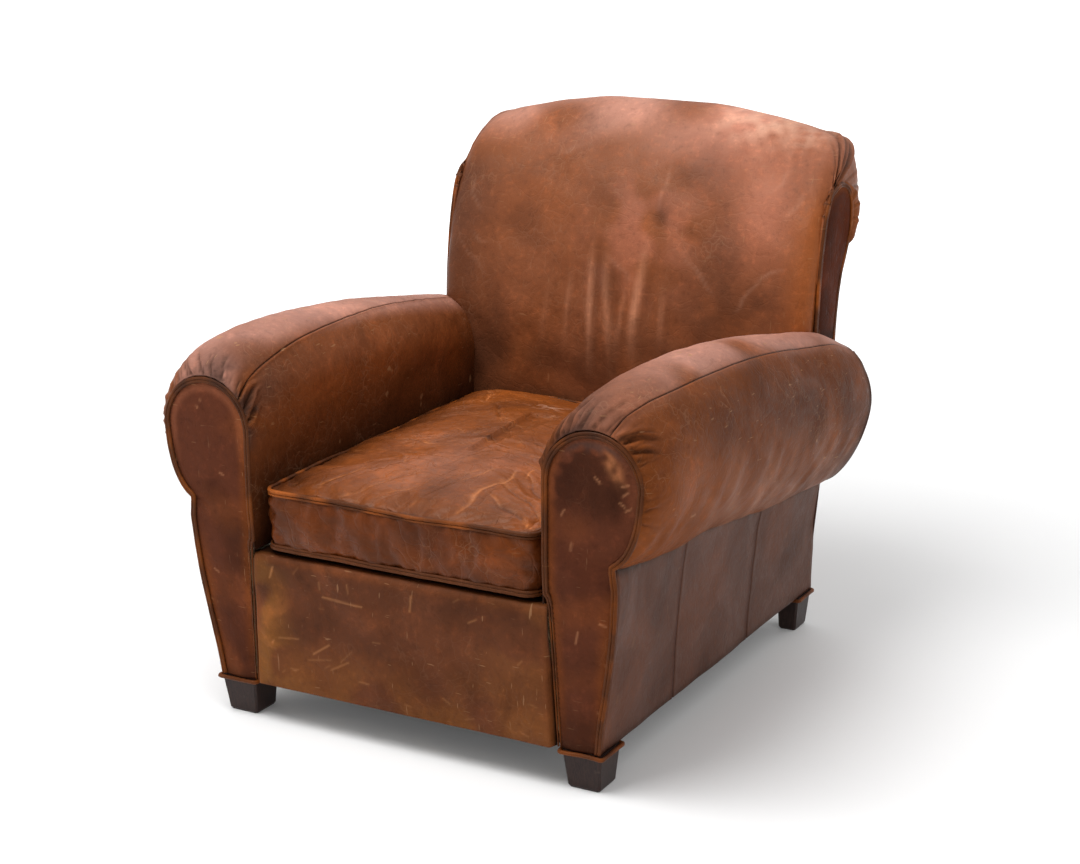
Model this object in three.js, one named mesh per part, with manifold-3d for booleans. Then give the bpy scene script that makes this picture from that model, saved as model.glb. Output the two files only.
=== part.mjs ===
// A worn leather club chair: hardwood frame, zigzag seat springs, padding, and covers sewn with piping.
// Millimetres, +Z up, front faces -Y. The origin is on the floor under the middle of the chair.
import * as THREE from 'three';
import { mergeVertices } from 'three/addons/utils/BufferGeometryUtils.js';
import Module from 'manifold-3d';

const wasm = await Module();
wasm.setup();

// ---- driving dimensions -------------------------------------------------------------------------
const GAP = 0.4; // clearance between touching pieces
const LEATHER = 2.4; // leather with its backing cloth
const CORD = 3.5; // radius of the piping cord
const SEAM_ROOM = 2 * CORD + 1.4; // from a seam's outer edge to the panel inside the piping
const PAD_ROOM = LEATHER + 2; // from the outside of a cover to the padding under it

const BASE_Z = 62; // underside of the upholstered body
const SIDES = [['left', -1], ['right', 1]];
const ENDS = ['front', 'rear'];

const FACE_Y = -486; // plane of the arm fronts' piping
const ARM_START_Y = FACE_Y + CORD + GAP;
const LEAN = 20; // how far an arm front's foot stands behind its neck
const LEAN_HOLD = 25; // depth over which the arm keeps that lean
const LEAN_FADE = 120; // depth over which the lean then dies away
const BACK_Y = 349; // outside face of the back
const ARM_END_Y = BACK_Y - LEATHER - GAP;
const ARM_WALL_Z = 284; // lower edge of the inside arm

const ARM = { // the arm roll along its length, as pairs of y and value
  top: [[-488, 548], [-468, 572], [-448, 585], [-412, 595], [-318, 602], [-218, 601], [-78, 591],
    [22, 577], [122, 562], [222, 546], [271, 534], [349, 503]],
  inner: [[-488, 249], [-300, 250], [-100, 254], [50, 262], [150, 270], [250, 279], [349, 288]],
  outer: [[-488, 407], [-472, 416], [-450, 423], [-400, 429], [-300, 432], [-100, 433], [150, 433],
    [349, 431]],
  innerTangent: [[-488, 467], [-400, 490], [-300, 505], [-100, 500], [100, 470], [250, 440], [349, 415]],
  outerTangent: [[-488, 467], [-300, 470], [0, 445], [250, 418], [349, 412]],
  low: [[-488, 354], [-457, 345], [-400, 335], [-335, 328], [-197, 320], [-85, 306], [34, 291],
    [160, 278], [249, 270], [349, 260]],
  neck: [[-488, 361], [-440, 357], [-300, 352], [349, 347]],
  lowRoundness: [[-488, 2], [-300, 1.9], [0, 1.75], [349, 1.55]], // 2 is an ellipse, less is flatter
};
const ARM_STATIONS = [ARM_START_Y, -474, -462, -440, -400, -330, -200, -60, 90, 220, 290, ARM_END_Y];
const FRONT_NECK_Z = 354;

const BOARD = { inner: 300, outer: 366, under: 420, top: 442 }; // arm board in section
const POST_X = [306, 328];
const BETWEEN_POSTS = [-POST_X[0] + GAP, POST_X[0] - GAP];
const FRONT_POST_Y = [-449, -409];
const BACK_POST_Y = [306, 343];
const FACING = 12; // thickness of the arm facing boards

const RAIL_FRONT = { y: [-470, -449.5, -424], z: [80, 262], coverTopY: -482, coverLowY: -475, topZ: 278 };
const RAIL_HALF = { top: 253.5, low: 260.5 };
const RAIL_SIDE_Z = [BASE_Z + 1, 165];
const RAIL_BACK = { y: [314, 338], z: [BASE_Z + 1, 250] };
const BLOCK_Z = [BASE_Z + 1, 106];

// feet: the rear pair is narrower; each foot's base stands a little inside its head
const FOOT = {
  front: { base: 53, head: 63, across: 1, x: 303, y: -435 },
  rear: { base: 50, head: 60, across: 0.64, x: 314, y: 316 },
};
const FOOT_CHAMFER = 3;
const FOOT_TOP = BASE_Z - GAP;
const FOOT_SHIFT = { x: -0.5, y: 3.5 };
// hanger bolts: the front pair screw into the corner blocks, the rear pair into the side rails
const BOLT = { front: [290, -416], rear: [317, 294], radius: 4, from: 28, to: 96 };

const CUSHION = {
  frontHalf: 232, rearHalf: 252, frontY: -474, rearY: 214, corner: 40, bottom: 286, seamLow: 291,
  seamHigh: 378, crown: 408,
};
const ZIP = { end: 60, half: 4 }; // distance from the cushion's rear corners, half its width
const DUST = { half: 318, y: [-448, 341] };
const DECK = { halfX: 285, y: [-435, 214], z: [262.8, 280.5] };
const SPRING = {
  x: [-195, -65, 65, 195], y: [-422.5, 312], z: 250, rise: 8, halfWaves: 22, swing: 24, wire: 1.9,
};

const BACK_HALF = 354; // half width of the inside back at its side seams
const CREST_Z = 892;
const CREST_FALL = 50; // how much lower the crest is at its ends
const BACK_DOME = 36; // width of the rounded ends of the back
// profile of the back in the middle and at its side seams, as pairs of y and z, front bottom to rear
const BACK_MIDDLE = [[226, 284], [225, 385], [230, 470], [240, 560], [257, 650], [281, 730],
  [314, 800], [352, 852], [388, 881], [424, CREST_Z], [459, 876], [482, 836], [490, 780], [485, 727],
  [465, 686], [437, 662], [404, 656]];
const BACK_EDGE = [[262, 284], [262, 385], [263, 470], [267, 560], [275, 640], [285, 690], [297, 730],
  [313, 756], [334, 772], [364, 780], [396, 773], [420, 755], [434, 732], [430, 708], [419, 688], [407, 670],
  [396, 658]];
const OUTSIDE_BACK = [[349, 480], [352, 530], [360, 580], [373, 622], [391, 651]];
const BACK_CORE = [[302, 200], [302, 480], [314, 577], [326, 623], [342, 700], [366, 770], [396, 784],
  [436, 778], [440, 740], [424, 700], [402, 668], [392, 640], [352, 560], [352, 200]];
const BACK_CORE_HALF = 334;
const BACK_CROSS_RAIL = { y: [320, 340], z: [530, 580] };
const CREST_RAIL = [[371, 748], [396, 778], [432, 774], [437, 742], [418, 722]];
const BACK_POST_LEAN = [[350, 575], [364, 620], [384, 655], [412, 690], [428, 730], [392, 752], [366, 745],
  [345, 690], [329, 623], [317, 577]]; // the post above the arms, as pairs of y and z
const POST_SLIT_Z = [430, 600]; // height of the slit in the arm that the back post passes through
const GUSSET_FOOT_Z = 470; // the gusset's uncut foot, inside the arm

// ---- shared helpers -----------------------------------------------------------------------------
const lerp = THREE.MathUtils.lerp;
const clamp01 = (t) => THREE.MathUtils.clamp(t, 0, 1);

// a smooth curve through [position, value] pairs
function through(pairs) {
  return (at) => {
    const last = pairs.length - 1;
    if (at <= pairs[0][0]) return pairs[0][1];
    if (at >= pairs[last][0]) return pairs[last][1];
    const i = pairs.findIndex((p) => p[0] > at) - 1;
    const slope = (k) => {
      const a = pairs[Math.max(k - 1, 0)];
      const b = pairs[Math.min(k + 1, last)];
      return (b[1] - a[1]) / (b[0] - a[0]);
    };
    const [x0, v0] = pairs[i];
    const [x1, v1] = pairs[i + 1];
    const h = x1 - x0;
    const t = (at - x0) / h;
    const t2 = t * t;
    const t3 = t2 * t;
    return (2 * t3 - 3 * t2 + 1) * v0 + (t3 - 2 * t2 + t) * h * slope(i)
      + (3 * t2 - 2 * t3) * v1 + (t3 - t2) * h * slope(i + 1);
  };
}

// an open line of [a, b] points moved sideways; a positive distance moves it to its right
function shiftLine(points, distance) {
  return points.map((p, i) => {
    const a = points[Math.max(i - 1, 0)];
    const b = points[Math.min(i + 1, points.length - 1)];
    const length = Math.hypot(b[0] - a[0], b[1] - a[1]);
    return [p[0] + ((b[1] - a[1]) / length) * distance, p[1] - ((b[0] - a[0]) / length) * distance];
  });
}

// a closed loop of [a, b] points shrunk by a distance, with mitred corners
function insetLoop(points, distance) {
  const sign = THREE.ShapeUtils.area(points.map(([x, y]) => new THREE.Vector2(x, y))) > 0 ? 1 : -1;
  const count = points.length;
  return points.map((p, i) => {
    const a = points[(i + count - 1) % count];
    const b = points[(i + 1) % count];
    const n1 = new THREE.Vector2(a[1] - p[1], p[0] - a[0]).normalize();
    const n2 = new THREE.Vector2(p[1] - b[1], b[0] - p[0]).normalize();
    const miter = n1.clone().add(n2);
    const scale = (sign * distance * 2) / Math.max(miter.lengthSq(), 0.6);
    return [p[0] + miter.x * scale, p[1] + miter.y * scale];
  });
}

const sheetSection = (line, thickness) => [...line, ...shiftLine(line, thickness).reverse()];

function smoothLine(points, count) {
  const curve = new THREE.SplineCurve(points.map(([x, y]) => new THREE.Vector2(x, y)));
  return curve.getPoints(count).map((p) => [p.x, p.y]);
}

function bare(geometry) {
  const copy = geometry.clone();
  copy.deleteAttribute('normal');
  copy.deleteAttribute('uv');
  return mergeVertices(copy, 1e-3);
}

// a closed body through rings of equal point count; place(point, station) gives each its Vector3
function loft(rings, stations, place, { closed = false } = {}) {
  const count = rings[0].length;
  const positions = [];
  rings.forEach((ring, k) => ring.forEach((p) => positions.push(...place(p, stations[k]).toArray())));
  const index = [];
  for (let k = 0; k < rings.length - (closed ? 0 : 1); k += 1) {
    const above = (((k + 1) % rings.length) - k) * count;
    for (let i = 0; i < count; i += 1) {
      const a = k * count + i;
      const b = k * count + ((i + 1) % count);
      index.push(a, b, b + above, a, b + above, a + above);
    }
  }
  (closed ? [] : [0, rings.length - 1]).forEach((k) => {
    const flat = rings[k].map(([x, y]) => new THREE.Vector2(x, y));
    const flip = (k === 0) !== THREE.ShapeUtils.isClockWise(flat);
    THREE.ShapeUtils.triangulateShape(flat, []).forEach(([a, b, c]) => {
      const face = [a + k * count, b + k * count, c + k * count];
      index.push(...(flip ? face.reverse() : face));
    });
  });
  const geometry = new THREE.BufferGeometry();
  geometry.setAttribute('position', new THREE.Float32BufferAttribute(positions, 3));
  geometry.setIndex(index);
  return facingOut(geometry);
}

function facingOut(geometry) {
  const p = geometry.attributes.position;
  const index = geometry.index.array;
  const [a, b, c] = [new THREE.Vector3(), new THREE.Vector3(), new THREE.Vector3()];
  let volume = 0;
  for (let i = 0; i < index.length; i += 3) {
    a.fromBufferAttribute(p, index[i]);
    b.fromBufferAttribute(p, index[i + 1]);
    c.fromBufferAttribute(p, index[i + 2]);
    volume += a.dot(b.cross(c));
  }
  if (volume < 0) geometry.setIndex(Array.from(index).reverse());
  return geometry;
}

function toManifold(geometry) {
  const merged = bare(geometry);
  return new wasm.Manifold(new wasm.Mesh({
    numProp: 3,
    vertProperties: Float32Array.from(merged.attributes.position.array),
    triVerts: Uint32Array.from(merged.index.array),
  }));
}

function fromManifold(solid) {
  const mesh = solid.getMesh();
  const geometry = new THREE.BufferGeometry();
  geometry.setAttribute('position', new THREE.Float32BufferAttribute(mesh.vertProperties, 3));
  geometry.setIndex(Array.from(mesh.triVerts));
  return geometry;
}

const cut = (geometry, ...tools) => fromManifold(
  tools.reduce((solid, tool) => solid.subtract(toManifold(tool)), toManifold(geometry)),
);

function boxBetween([x0, x1], [y0, y1], [z0, z1]) {
  const box = new THREE.BoxGeometry(x1 - x0, y1 - y0, z1 - z0);
  return box.translate((x0 + x1) / 2, (y0 + y1) / 2, (z0 + z1) / 2);
}

const AXIS_TURN = {
  x: new THREE.Matrix4().set(0, 0, 1, 0, 1, 0, 0, 0, 0, 1, 0, 0, 0, 0, 0, 1),
  y: new THREE.Matrix4().set(1, 0, 0, 0, 0, 0, 1, 0, 0, 1, 0, 0, 0, 0, 0, 1),
};

// a prism of an [a, b] outline: along 'x' it reads (y, z), along 'y' (x, z), along 'z' (x, y)
function prism(outline, axis, from, to) {
  const shape = new THREE.Shape(outline.map(([a, b]) => new THREE.Vector2(a, b)));
  const geometry = bare(new THREE.ExtrudeGeometry(shape, { depth: to - from, bevelEnabled: false }));
  geometry.translate(0, 0, from);
  if (AXIS_TURN[axis]) geometry.applyMatrix4(AXIS_TURN[axis]);
  return facingOut(geometry);
}

// a round cord through points that lie in, or close to, the plane square to a normal
function cordAlong(points, radius, normal, { closed = false, sides = 6 } = {}) {
  const round = Array.from({ length: sides }, (_, i) => {
    const angle = (2 * Math.PI * (i + 0.5)) / sides;
    return [radius * Math.cos(angle), radius * Math.sin(angle)];
  });
  const count = points.length;
  const frames = points.map((p, i) => {
    const before = closed || i > 0 ? points[(i + count - 1) % count] : null;
    const after = closed || i < count - 1 ? points[(i + 1) % count] : null;
    const into = (before ? p.clone().sub(before) : after.clone().sub(p)).normalize();
    const out = (after ? after.clone().sub(p) : into.clone()).normalize();
    const along = into.clone().add(out).normalize();
    const across = normal.clone().cross(along).normalize();
    across.multiplyScalar(1 / Math.max(along.dot(out), 0.75));
    return { p, across, up: along.clone().cross(across).normalize() };
  });
  const place = ([u, v], k) => {
    const { p, across, up } = frames[k];
    return p.clone().addScaledVector(across, u).addScaledVector(up, v);
  };
  return loft(points.map(() => round), points.map((_, k) => k), place, { closed });
}

function bend(geometry, move) {
  const p = geometry.attributes.position;
  const v = new THREE.Vector3();
  for (let i = 0; i < p.count; i += 1) {
    v.fromBufferAttribute(p, i);
    move(v);
    p.setXYZ(i, v.x, v.y, v.z);
  }
  return geometry;
}

function mirrored(geometry, side) {
  if (side > 0) return geometry;
  const copy = geometry.clone().applyMatrix4(new THREE.Matrix4().makeScale(-1, 1, 1));
  if (copy.index) return copy.setIndex(Array.from(copy.index.array).reverse());
  return facingOut(bare(copy));
}

// ---- arms ---------------------------------------------------------------------------------------
const armCurve = Object.fromEntries(Object.entries(ARM).map(([key, pairs]) => [key, through(pairs)]));

// outline of the right arm at y, from the foot of its inside wall over the roll to the neck
function armLine(y) {
  const at = (key) => armCurve[key](y);
  const middle = (at('inner') + at('outer')) / 2;
  const half = (at('outer') - at('inner')) / 2;
  const line = [[at('inner'), ARM_WALL_Z], [at('inner'), lerp(ARM_WALL_Z, at('innerTangent'), 0.5)]];
  const quarter = (from, to, steps, height, base) => {
    for (let i = 0; i <= steps; i += 1) {
      const angle = THREE.MathUtils.degToRad(lerp(from, to, i / steps));
      line.push([middle + half * Math.cos(angle), base + height * Math.sin(angle)]);
    }
  };
  quarter(180, 90, 5, at('top') - at('innerTangent'), at('innerTangent'));
  line.pop();
  quarter(90, 0, 6, at('top') - at('outerTangent'), at('outerTangent'));
  line.pop();
  const reach = Math.max((at('neck') - middle) / half, 0);
  const power = at('lowRoundness');
  const drop = (at('outerTangent') - at('low')) / (1 - reach ** power) ** (1 / power);
  const foot = at('neck') - middle - reach * half;
  for (let i = 0; i <= 6; i += 1) {
    const across = lerp(Math.PI / 2, Math.asin(reach), i / 6);
    const share = Math.sin(across);
    const fall = drop * Math.max(1 - share ** power, 0) ** (1 / power);
    line.push([middle + half * share + foot * (i / 6) ** 2, at('outerTangent') - fall]);
  }
  return line;
}

function leanFront(v) {
  const lean = LEAN * clamp01((FRONT_NECK_Z - v.z) / (FRONT_NECK_Z - BASE_Z));
  v.y += lean * clamp01(1 - (v.y - ARM_START_Y - LEAN_HOLD) / LEAN_FADE);
}

const placeAcross = ([x, z], y) => new THREE.Vector3(x, y, z);

// the slit that lets the back post through the top of the arm
function postRoom() {
  return boxBetween([POST_X[0] - GAP, POST_X[1] + GAP], [BACK_POST_Y[0] - GAP, BACK_Y + 1], POST_SLIT_Z);
}

function armCover() {
  const rings = ARM_STATIONS.map((y) => sheetSection(armLine(y), LEATHER));
  return cut(bend(loft(rings, ARM_STATIONS, placeAcross), leanFront), postRoom());
}

function armPad() {
  const start = FACE_Y + CORD + FACING + 1.5;
  const stations = [start, ...ARM_STATIONS.filter((y) => y > start + 5)];
  const rings = stations.map((y) => {
    const line = shiftLine(armLine(y), PAD_ROOM);
    const [neckX, neckZ] = line[line.length - 1];
    return [...line, [neckX - 5, neckZ + 6], [BOARD.outer + GAP, BOARD.under],
      [BOARD.outer + GAP, BOARD.top + GAP], [BOARD.inner - GAP, BOARD.top + GAP],
      [BOARD.inner - GAP, ARM_WALL_Z]];
  });
  return cut(bend(loft(rings, stations, placeAcross), leanFront), postRoom());
}

// outer edge of the piping round the arm front
function armFrontOutline() {
  const shape = new THREE.Shape();
  const half = (armCurve.outer(FACE_Y) - armCurve.inner(FACE_Y)) / 2;
  const middle = (armCurve.outer(FACE_Y) + armCurve.inner(FACE_Y)) / 2;
  shape.moveTo(262, BASE_Z + 1);
  shape.lineTo(255, 272);
  shape.lineTo(249, 300);
  shape.lineTo(249, FRONT_NECK_Z);
  shape.lineTo(middle - half, 467);
  shape.absarc(middle, 467, half, Math.PI, 0, true);
  shape.bezierCurveTo(407, 425, 396, 372, 363, 352);
  shape.splineThru([[367, 312], [361, 238], [350, 165], [340, 110], [334, BASE_Z + 1]]
    .map(([x, z]) => new THREE.Vector2(x, z)));
  return shape.getPoints(5).map((p) => [p.x, p.y]);
}

// the same line with no two points closer than a step, keeping both ends
function thin(points, step) {
  const last = points[points.length - 1];
  const far = (p, q) => Math.hypot(p[0] - q[0], p[1] - q[1]) >= step;
  const kept = [points[0]];
  points.slice(1).forEach((p) => {
    if (far(p, kept[kept.length - 1]) && far(p, last)) kept.push(p);
  });
  return [...kept, last];
}

function armFrontLoops() {
  const loop = thin(armFrontOutline(), 1.3 * SEAM_ROOM);
  return { cord: insetLoop(loop, CORD), panel: insetLoop(loop, SEAM_ROOM) };
}

const armLoops = armFrontLoops();
const leanPanel = (v) => {
  v.y += LEAN * clamp01((FRONT_NECK_Z - v.z) / (FRONT_NECK_Z - BASE_Z));
};

function armFrontPanel() {
  return bend(prism(armLoops.panel, 'y', FACE_Y, FACE_Y + LEATHER), leanPanel);
}

function armFacingBoard() {
  const front = FACE_Y + LEATHER + GAP;
  return bend(prism(armLoops.panel, 'y', front, FACE_Y + CORD + FACING), leanPanel);
}

function armPiping() {
  const points = armLoops.cord.map(([x, z]) => new THREE.Vector3(x, FACE_Y, z));
  points.forEach(leanPanel);
  return cordAlong(points, CORD, new THREE.Vector3(0, 1, 0));
}

// the side panel's distance from the middle, from its foot (0) to its top (1)
const SIDE_SHARES = [0, 0.163, 0.354, 0.608, 0.865, 1];
const sideFront = through([[0, 333], [0.163, 339], [0.354, 349], [0.608, 360], [0.865, 366], [1, 364]]);
const sideRear = through([[0, 333], [0.35, 334], [0.7, 337], [1, 344]]);
const sideFlare = through([[ARM_START_Y, 1], [-380, 0.35], [-200, 0]]);

function outsideArmPanel() {
  const stations = [ARM_START_Y, -430, -380, -200, 60, ARM_END_Y];
  const rings = stations.map((y) => {
    const top = armCurve.low(y) - 3;
    const line = SIDE_SHARES.map((share) => [
      lerp(sideRear(share), sideFront(share), sideFlare(y)), lerp(BASE_Z + 1, top, share)]);
    return sheetSection(line, -LEATHER);
  });
  return bend(loft(rings, stations, placeAcross), leanFront);
}

// ---- back ---------------------------------------------------------------------------------------
const backLines = { middle: smoothLine(BACK_MIDDLE, 22), edge: smoothLine(BACK_EDGE, 22) };

function backLine(x) {
  const inward = clamp01((BACK_HALF - Math.abs(x)) / BACK_DOME);
  const fullness = Math.sqrt(1 - (1 - inward) ** 2);
  const fall = CREST_FALL * Math.abs(x / BACK_HALF) ** 2.2;
  return backLines.middle.map(([y, z], i) => {
    const share = clamp01((z - 640) / (CREST_Z - 640));
    const [ye, ze] = backLines.edge[i];
    return [lerp(ye, y, fullness), lerp(ze, z - fall * share, fullness)];
  });
}

const BACK_SHARES = [-1, -0.994, -0.98, -0.95, -0.9, -0.75, -0.4, 0, 0.4, 0.75, 0.9, 0.95, 0.98, 0.994, 1];
const BACK_STATIONS = BACK_SHARES.map((share) => share * BACK_HALF);
const placeAlong = ([y, z], x) => new THREE.Vector3(x, y, z);

// what the arms take out of the back: everything below and outside their inside walls and tops
function armRoom() {
  const stations = [150, 220, 290, 360, 520];
  const rings = stations.map((y) => [[700, ARM_WALL_Z - 200],
    [armLine(y)[0][0] - GAP, ARM_WALL_Z - 200], ...shiftLine(armLine(y), -GAP).slice(0, 13), [700, 380]]);
  return loft(rings, stations, placeAcross);
}

function insideBackCover() {
  const rings = BACK_STATIONS.map((x) => sheetSection(backLine(x), LEATHER));
  const room = armRoom();
  return cut(loft(rings, BACK_STATIONS, placeAlong), room, mirrored(room, -1));
}

function backPad() {
  const rings = BACK_STATIONS.map((x) => {
    const line = shiftLine(backLine(x), PAD_ROOM + 1);
    return [...line, [392, 640], [340, 500], [340, ARM_WALL_Z]];
  });
  const core = prism(BACK_CORE, 'x', -BACK_CORE_HALF, BACK_CORE_HALF);
  const room = armRoom();
  const behind = boxBetween([-BACK_HALF - 1, BACK_HALF + 1], [302, 420], [200, 655]);
  return cut(loft(rings, BACK_STATIONS, placeAlong), core, behind, room, mirrored(room, -1));
}

function gussetLoop() {
  const front = smoothLine(BACK_EDGE, 26).filter(([, z]) => z > GUSSET_FOOT_Z);
  const rear = OUTSIDE_BACK.slice().reverse().map(([y, z]) => [y - LEATHER - GAP, z - 4]);
  const foot = GUSSET_FOOT_Z - 5;
  return [[front[0][0], foot], ...front, ...rear, [rear[rear.length - 1][0], foot]];
}

function armTopPlane(margin) {
  const stations = [200, 270, 349, 460];
  const rings = stations.map((y) => {
    const top = armCurve.top(y) + margin;
    return [[300, 200], [300, top], [420, top], [420, 200]];
  });
  return loft(rings, stations, placeAcross);
}

function backGusset() {
  const loop = insetLoop(gussetLoop(), SEAM_ROOM);
  const panel = prism(loop, 'x', BACK_HALF + GAP, BACK_HALF + GAP + LEATHER);
  return cut(panel, armTopPlane(2));
}

function backPiping() {
  const x = BACK_HALF + GAP + CORD;
  const line = shiftLine(smoothLine(BACK_EDGE, 26), CORD).filter(([y, z]) => z > armCurve.top(y) + 6);
  const points = line.map(([y, z]) => new THREE.Vector3(x, y, z));
  return cordAlong(points, CORD, new THREE.Vector3(1, 0, 0));
}

// half width of the outside back at each height: the side panels, the arm ends, then the back itself
function outsideBackWidths() {
  const arm = armLine(ARM_END_Y);
  const lowest = arm.reduce((best, p) => (p[1] < best[1] ? p : best));
  const highest = arm.reduce((best, p) => (p[1] > best[1] ? p : best));
  const roll = arm.filter(([x, z]) => x > highest[0] && z > lowest[1] + 1).reverse();
  return [[333, BASE_Z + 1], [335, 160], [344, lowest[1] - 2], [lowest[0], lowest[1]],
    ...roll.filter((p, i) => i === 0 || p[1] > roll[i - 1][1]),
    [BACK_HALF - 2, highest[1]]];
}

function outsideBackCover() {
  const widths = outsideBackWidths();
  const armTop = widths[widths.length - 1][1];
  const rise = smoothLine(OUTSIDE_BACK, 8).slice(1).filter(([, z]) => z > armTop + 4);
  const lean = through(OUTSIDE_BACK.map(([y, z]) => [z, y]));
  const levels = [
    ...widths.map(([half, z]) => [half, lean(z), z]),
    ...rise.map(([y, z]) => [BACK_HALF - 2, y, z]),
  ];
  const rings = levels.map(([half, y]) => [
    [-half, y - LEATHER], [half, y - LEATHER], [half, y], [-half, y]]);
  return loft(rings, levels.map((level) => level[2]), ([x, y], z) => new THREE.Vector3(x, y, z));
}

// ---- seat ---------------------------------------------------------------------------------------
function cushionRing(inset) {
  const { frontHalf, rearHalf, frontY, rearY, corner } = CUSHION;
  const corners = [[frontHalf, frontY, -90], [rearHalf, rearY, 0], [-rearHalf, rearY, 90],
    [-frontHalf, frontY, 180]];
  const ring = [];
  corners.forEach(([x, y, start]) => {
    const radius = Math.max(corner - inset * 0.5, 8);
    const cx = x - Math.sign(x) * (radius + inset);
    const cy = y - Math.sign(y) * (radius + inset);
    for (let i = 0; i <= 3; i += 1) {
      const angle = THREE.MathUtils.degToRad(start + 30 * i);
      ring.push([cx + radius * Math.cos(angle), cy + radius * Math.sin(angle)]);
    }
  });
  return ring;
}

function cushionBody(inset) {
  const { bottom, seamLow, seamHigh, crown } = CUSHION;
  // pairs of height and distance inside the seam line
  const levels = [[bottom, 14], [seamLow, 2], [lerp(seamLow, seamHigh, 0.5), -2], [seamHigh, 2],
    [seamHigh + 8, 16], [lerp(seamHigh, crown, 0.65), 55], [crown - 3, 110], [crown, 165]];
  const low = bottom + inset;
  const rings = levels.map(([, d]) => cushionRing(d + inset));
  const heights = levels.map(([z]) => lerp(low, crown - inset, (z - bottom) / (crown - bottom)));
  return loft(rings, heights, ([x, y], z) => new THREE.Vector3(x, y, z));
}

function cushionCover() {
  const { rearY, rearHalf } = CUSHION;
  const middle = lerp(CUSHION.seamLow, CUSHION.seamHigh, 0.5);
  const half = rearHalf - ZIP.end;
  const slotHalf = ZIP.half + 1;
  const zipSlot = boxBetween([-half, half], [rearY - 12, rearY + 12], [middle - slotHalf, middle + slotHalf]);
  return cut(cushionBody(0), cushionBody(LEATHER), zipSlot);
}

function cushionZip() {
  const { rearY, rearHalf } = CUSHION;
  const middle = lerp(CUSHION.seamLow, CUSHION.seamHigh, 0.5);
  const half = rearHalf - ZIP.end - 1;
  return boxBetween([-half, half], [rearY - 0.2, rearY + 2.2], [middle - ZIP.half, middle + ZIP.half]);
}

function cushionPiping(z) {
  const ring = cushionRing(-CORD - GAP).map(([x, y]) => new THREE.Vector3(x, y, z));
  return cordAlong(ring, CORD, new THREE.Vector3(0, 0, 1), { closed: true });
}

function seatSpring(x) {
  const { y, z, rise, halfWaves, swing, wire } = SPRING;
  const points = [new THREE.Vector3(x, y[0], z)];
  for (let i = 0; i < halfWaves; i += 1) {
    const t = (i + 0.5) / halfWaves;
    const sign = i % 2 ? -1 : 1;
    const arch = rise * Math.sin(Math.PI * t);
    points.push(new THREE.Vector3(x + sign * swing, lerp(y[0], y[1], t), z + arch));
  }
  points.push(new THREE.Vector3(x, y[1], z));
  return cordAlong(points, wire, new THREE.Vector3(0, 0, 1), { sides: 4 });
}

function frontRailCover() {
  const { coverTopY, coverLowY, topZ } = RAIL_FRONT;
  const line = [[coverLowY, BASE_Z + 1], [coverTopY, topZ - 18], [coverTopY + 4, topZ - 5],
    [coverTopY + 12, topZ], [coverTopY + 45, topZ]];
  const cover = prism(sheetSection(line, LEATHER), 'x', -1, 1);
  return bend(cover, (v) => {
    const rise = clamp01((v.z - BASE_Z) / (topZ - BASE_Z));
    v.x *= lerp(RAIL_HALF.low, RAIL_HALF.top, rise);
  });
}

// ---- frame and feet -----------------------------------------------------------------------------
function frontRail() {
  const { y: [front, shoulder, rear], z } = RAIL_FRONT;
  const [middle, end] = [RAIL_HALF.top - 1.5, POST_X[0] - GAP];
  const half = [[middle, front], [middle, shoulder], [end, shoulder], [end, rear]];
  return prism([...half, ...half.map(([x, y]) => [-x, y]).reverse()], 'z', ...z);
}

function backPost() {
  const outline = [[BACK_POST_Y[0], BASE_Z + 1], [BACK_POST_Y[1], BASE_Z + 1], [BACK_POST_Y[1], 480],
    ...BACK_POST_LEAN, [BACK_POST_Y[0], 480]];
  return prism(outline, 'x', POST_X[0], POST_X[1]);
}

function crestRail() {
  return prism(CREST_RAIL, 'x', ...BETWEEN_POSTS);
}

function cornerBlock(end) {
  const [a, b] = end === 'front' ? [-423.5, -364] : [313.5, 256];
  const inside = POST_X[0] - GAP;
  const outline = [[inside, a], [inside, b], [inside - 14, b], [inside - 62, a + (b - a) * 0.3], [inside - 62, a]];
  const block = prism(outline, 'z', BLOCK_Z[0], BLOCK_Z[1]);
  return end === 'front' ? cut(block, footBolt(end, GAP)) : block;
}

function sideRail() {
  const rail = boxBetween(POST_X, [FRONT_POST_Y[1] + GAP, BACK_POST_Y[0] - GAP], RAIL_SIDE_Z);
  return cut(rail, footBolt('rear', GAP));
}

function footRing(size, across) {
  const [w, d] = [(size * across) / 2, size / 2];
  const c = FOOT_CHAMFER;
  return [[w, d - c], [w - c, d], [c - w, d], [-w, d - c], [-w, c - d], [c - w, -d], [w - c, -d], [w, c - d]];
}

function foot(end) {
  const { base, head, across, x, y } = FOOT[end];
  const away = end === 'front' ? 1 : -1;
  const levels = [[0, base - 5], [4, base], [FOOT_TOP - 6, head], [FOOT_TOP, head]];
  const rings = levels.map(([, size]) => footRing(size, across));
  const body = loft(rings, levels.map(([z]) => z), ([px, py], z) => {
    const share = 1 - z / FOOT_TOP;
    return new THREE.Vector3(x + px + FOOT_SHIFT.x * share, y + py + FOOT_SHIFT.y * share * away, z);
  });
  return cut(body, footBolt(end, GAP));
}

function footBolt(end, extra = 0) {
  const length = BOLT.to - BOLT.from + 2 * extra;
  const bolt = new THREE.CylinderGeometry(BOLT.radius + extra, BOLT.radius + extra, length, 10);
  return bare(bolt.rotateX(Math.PI / 2)).translate(...BOLT[end], (BOLT.to + BOLT.from) / 2);
}

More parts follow.
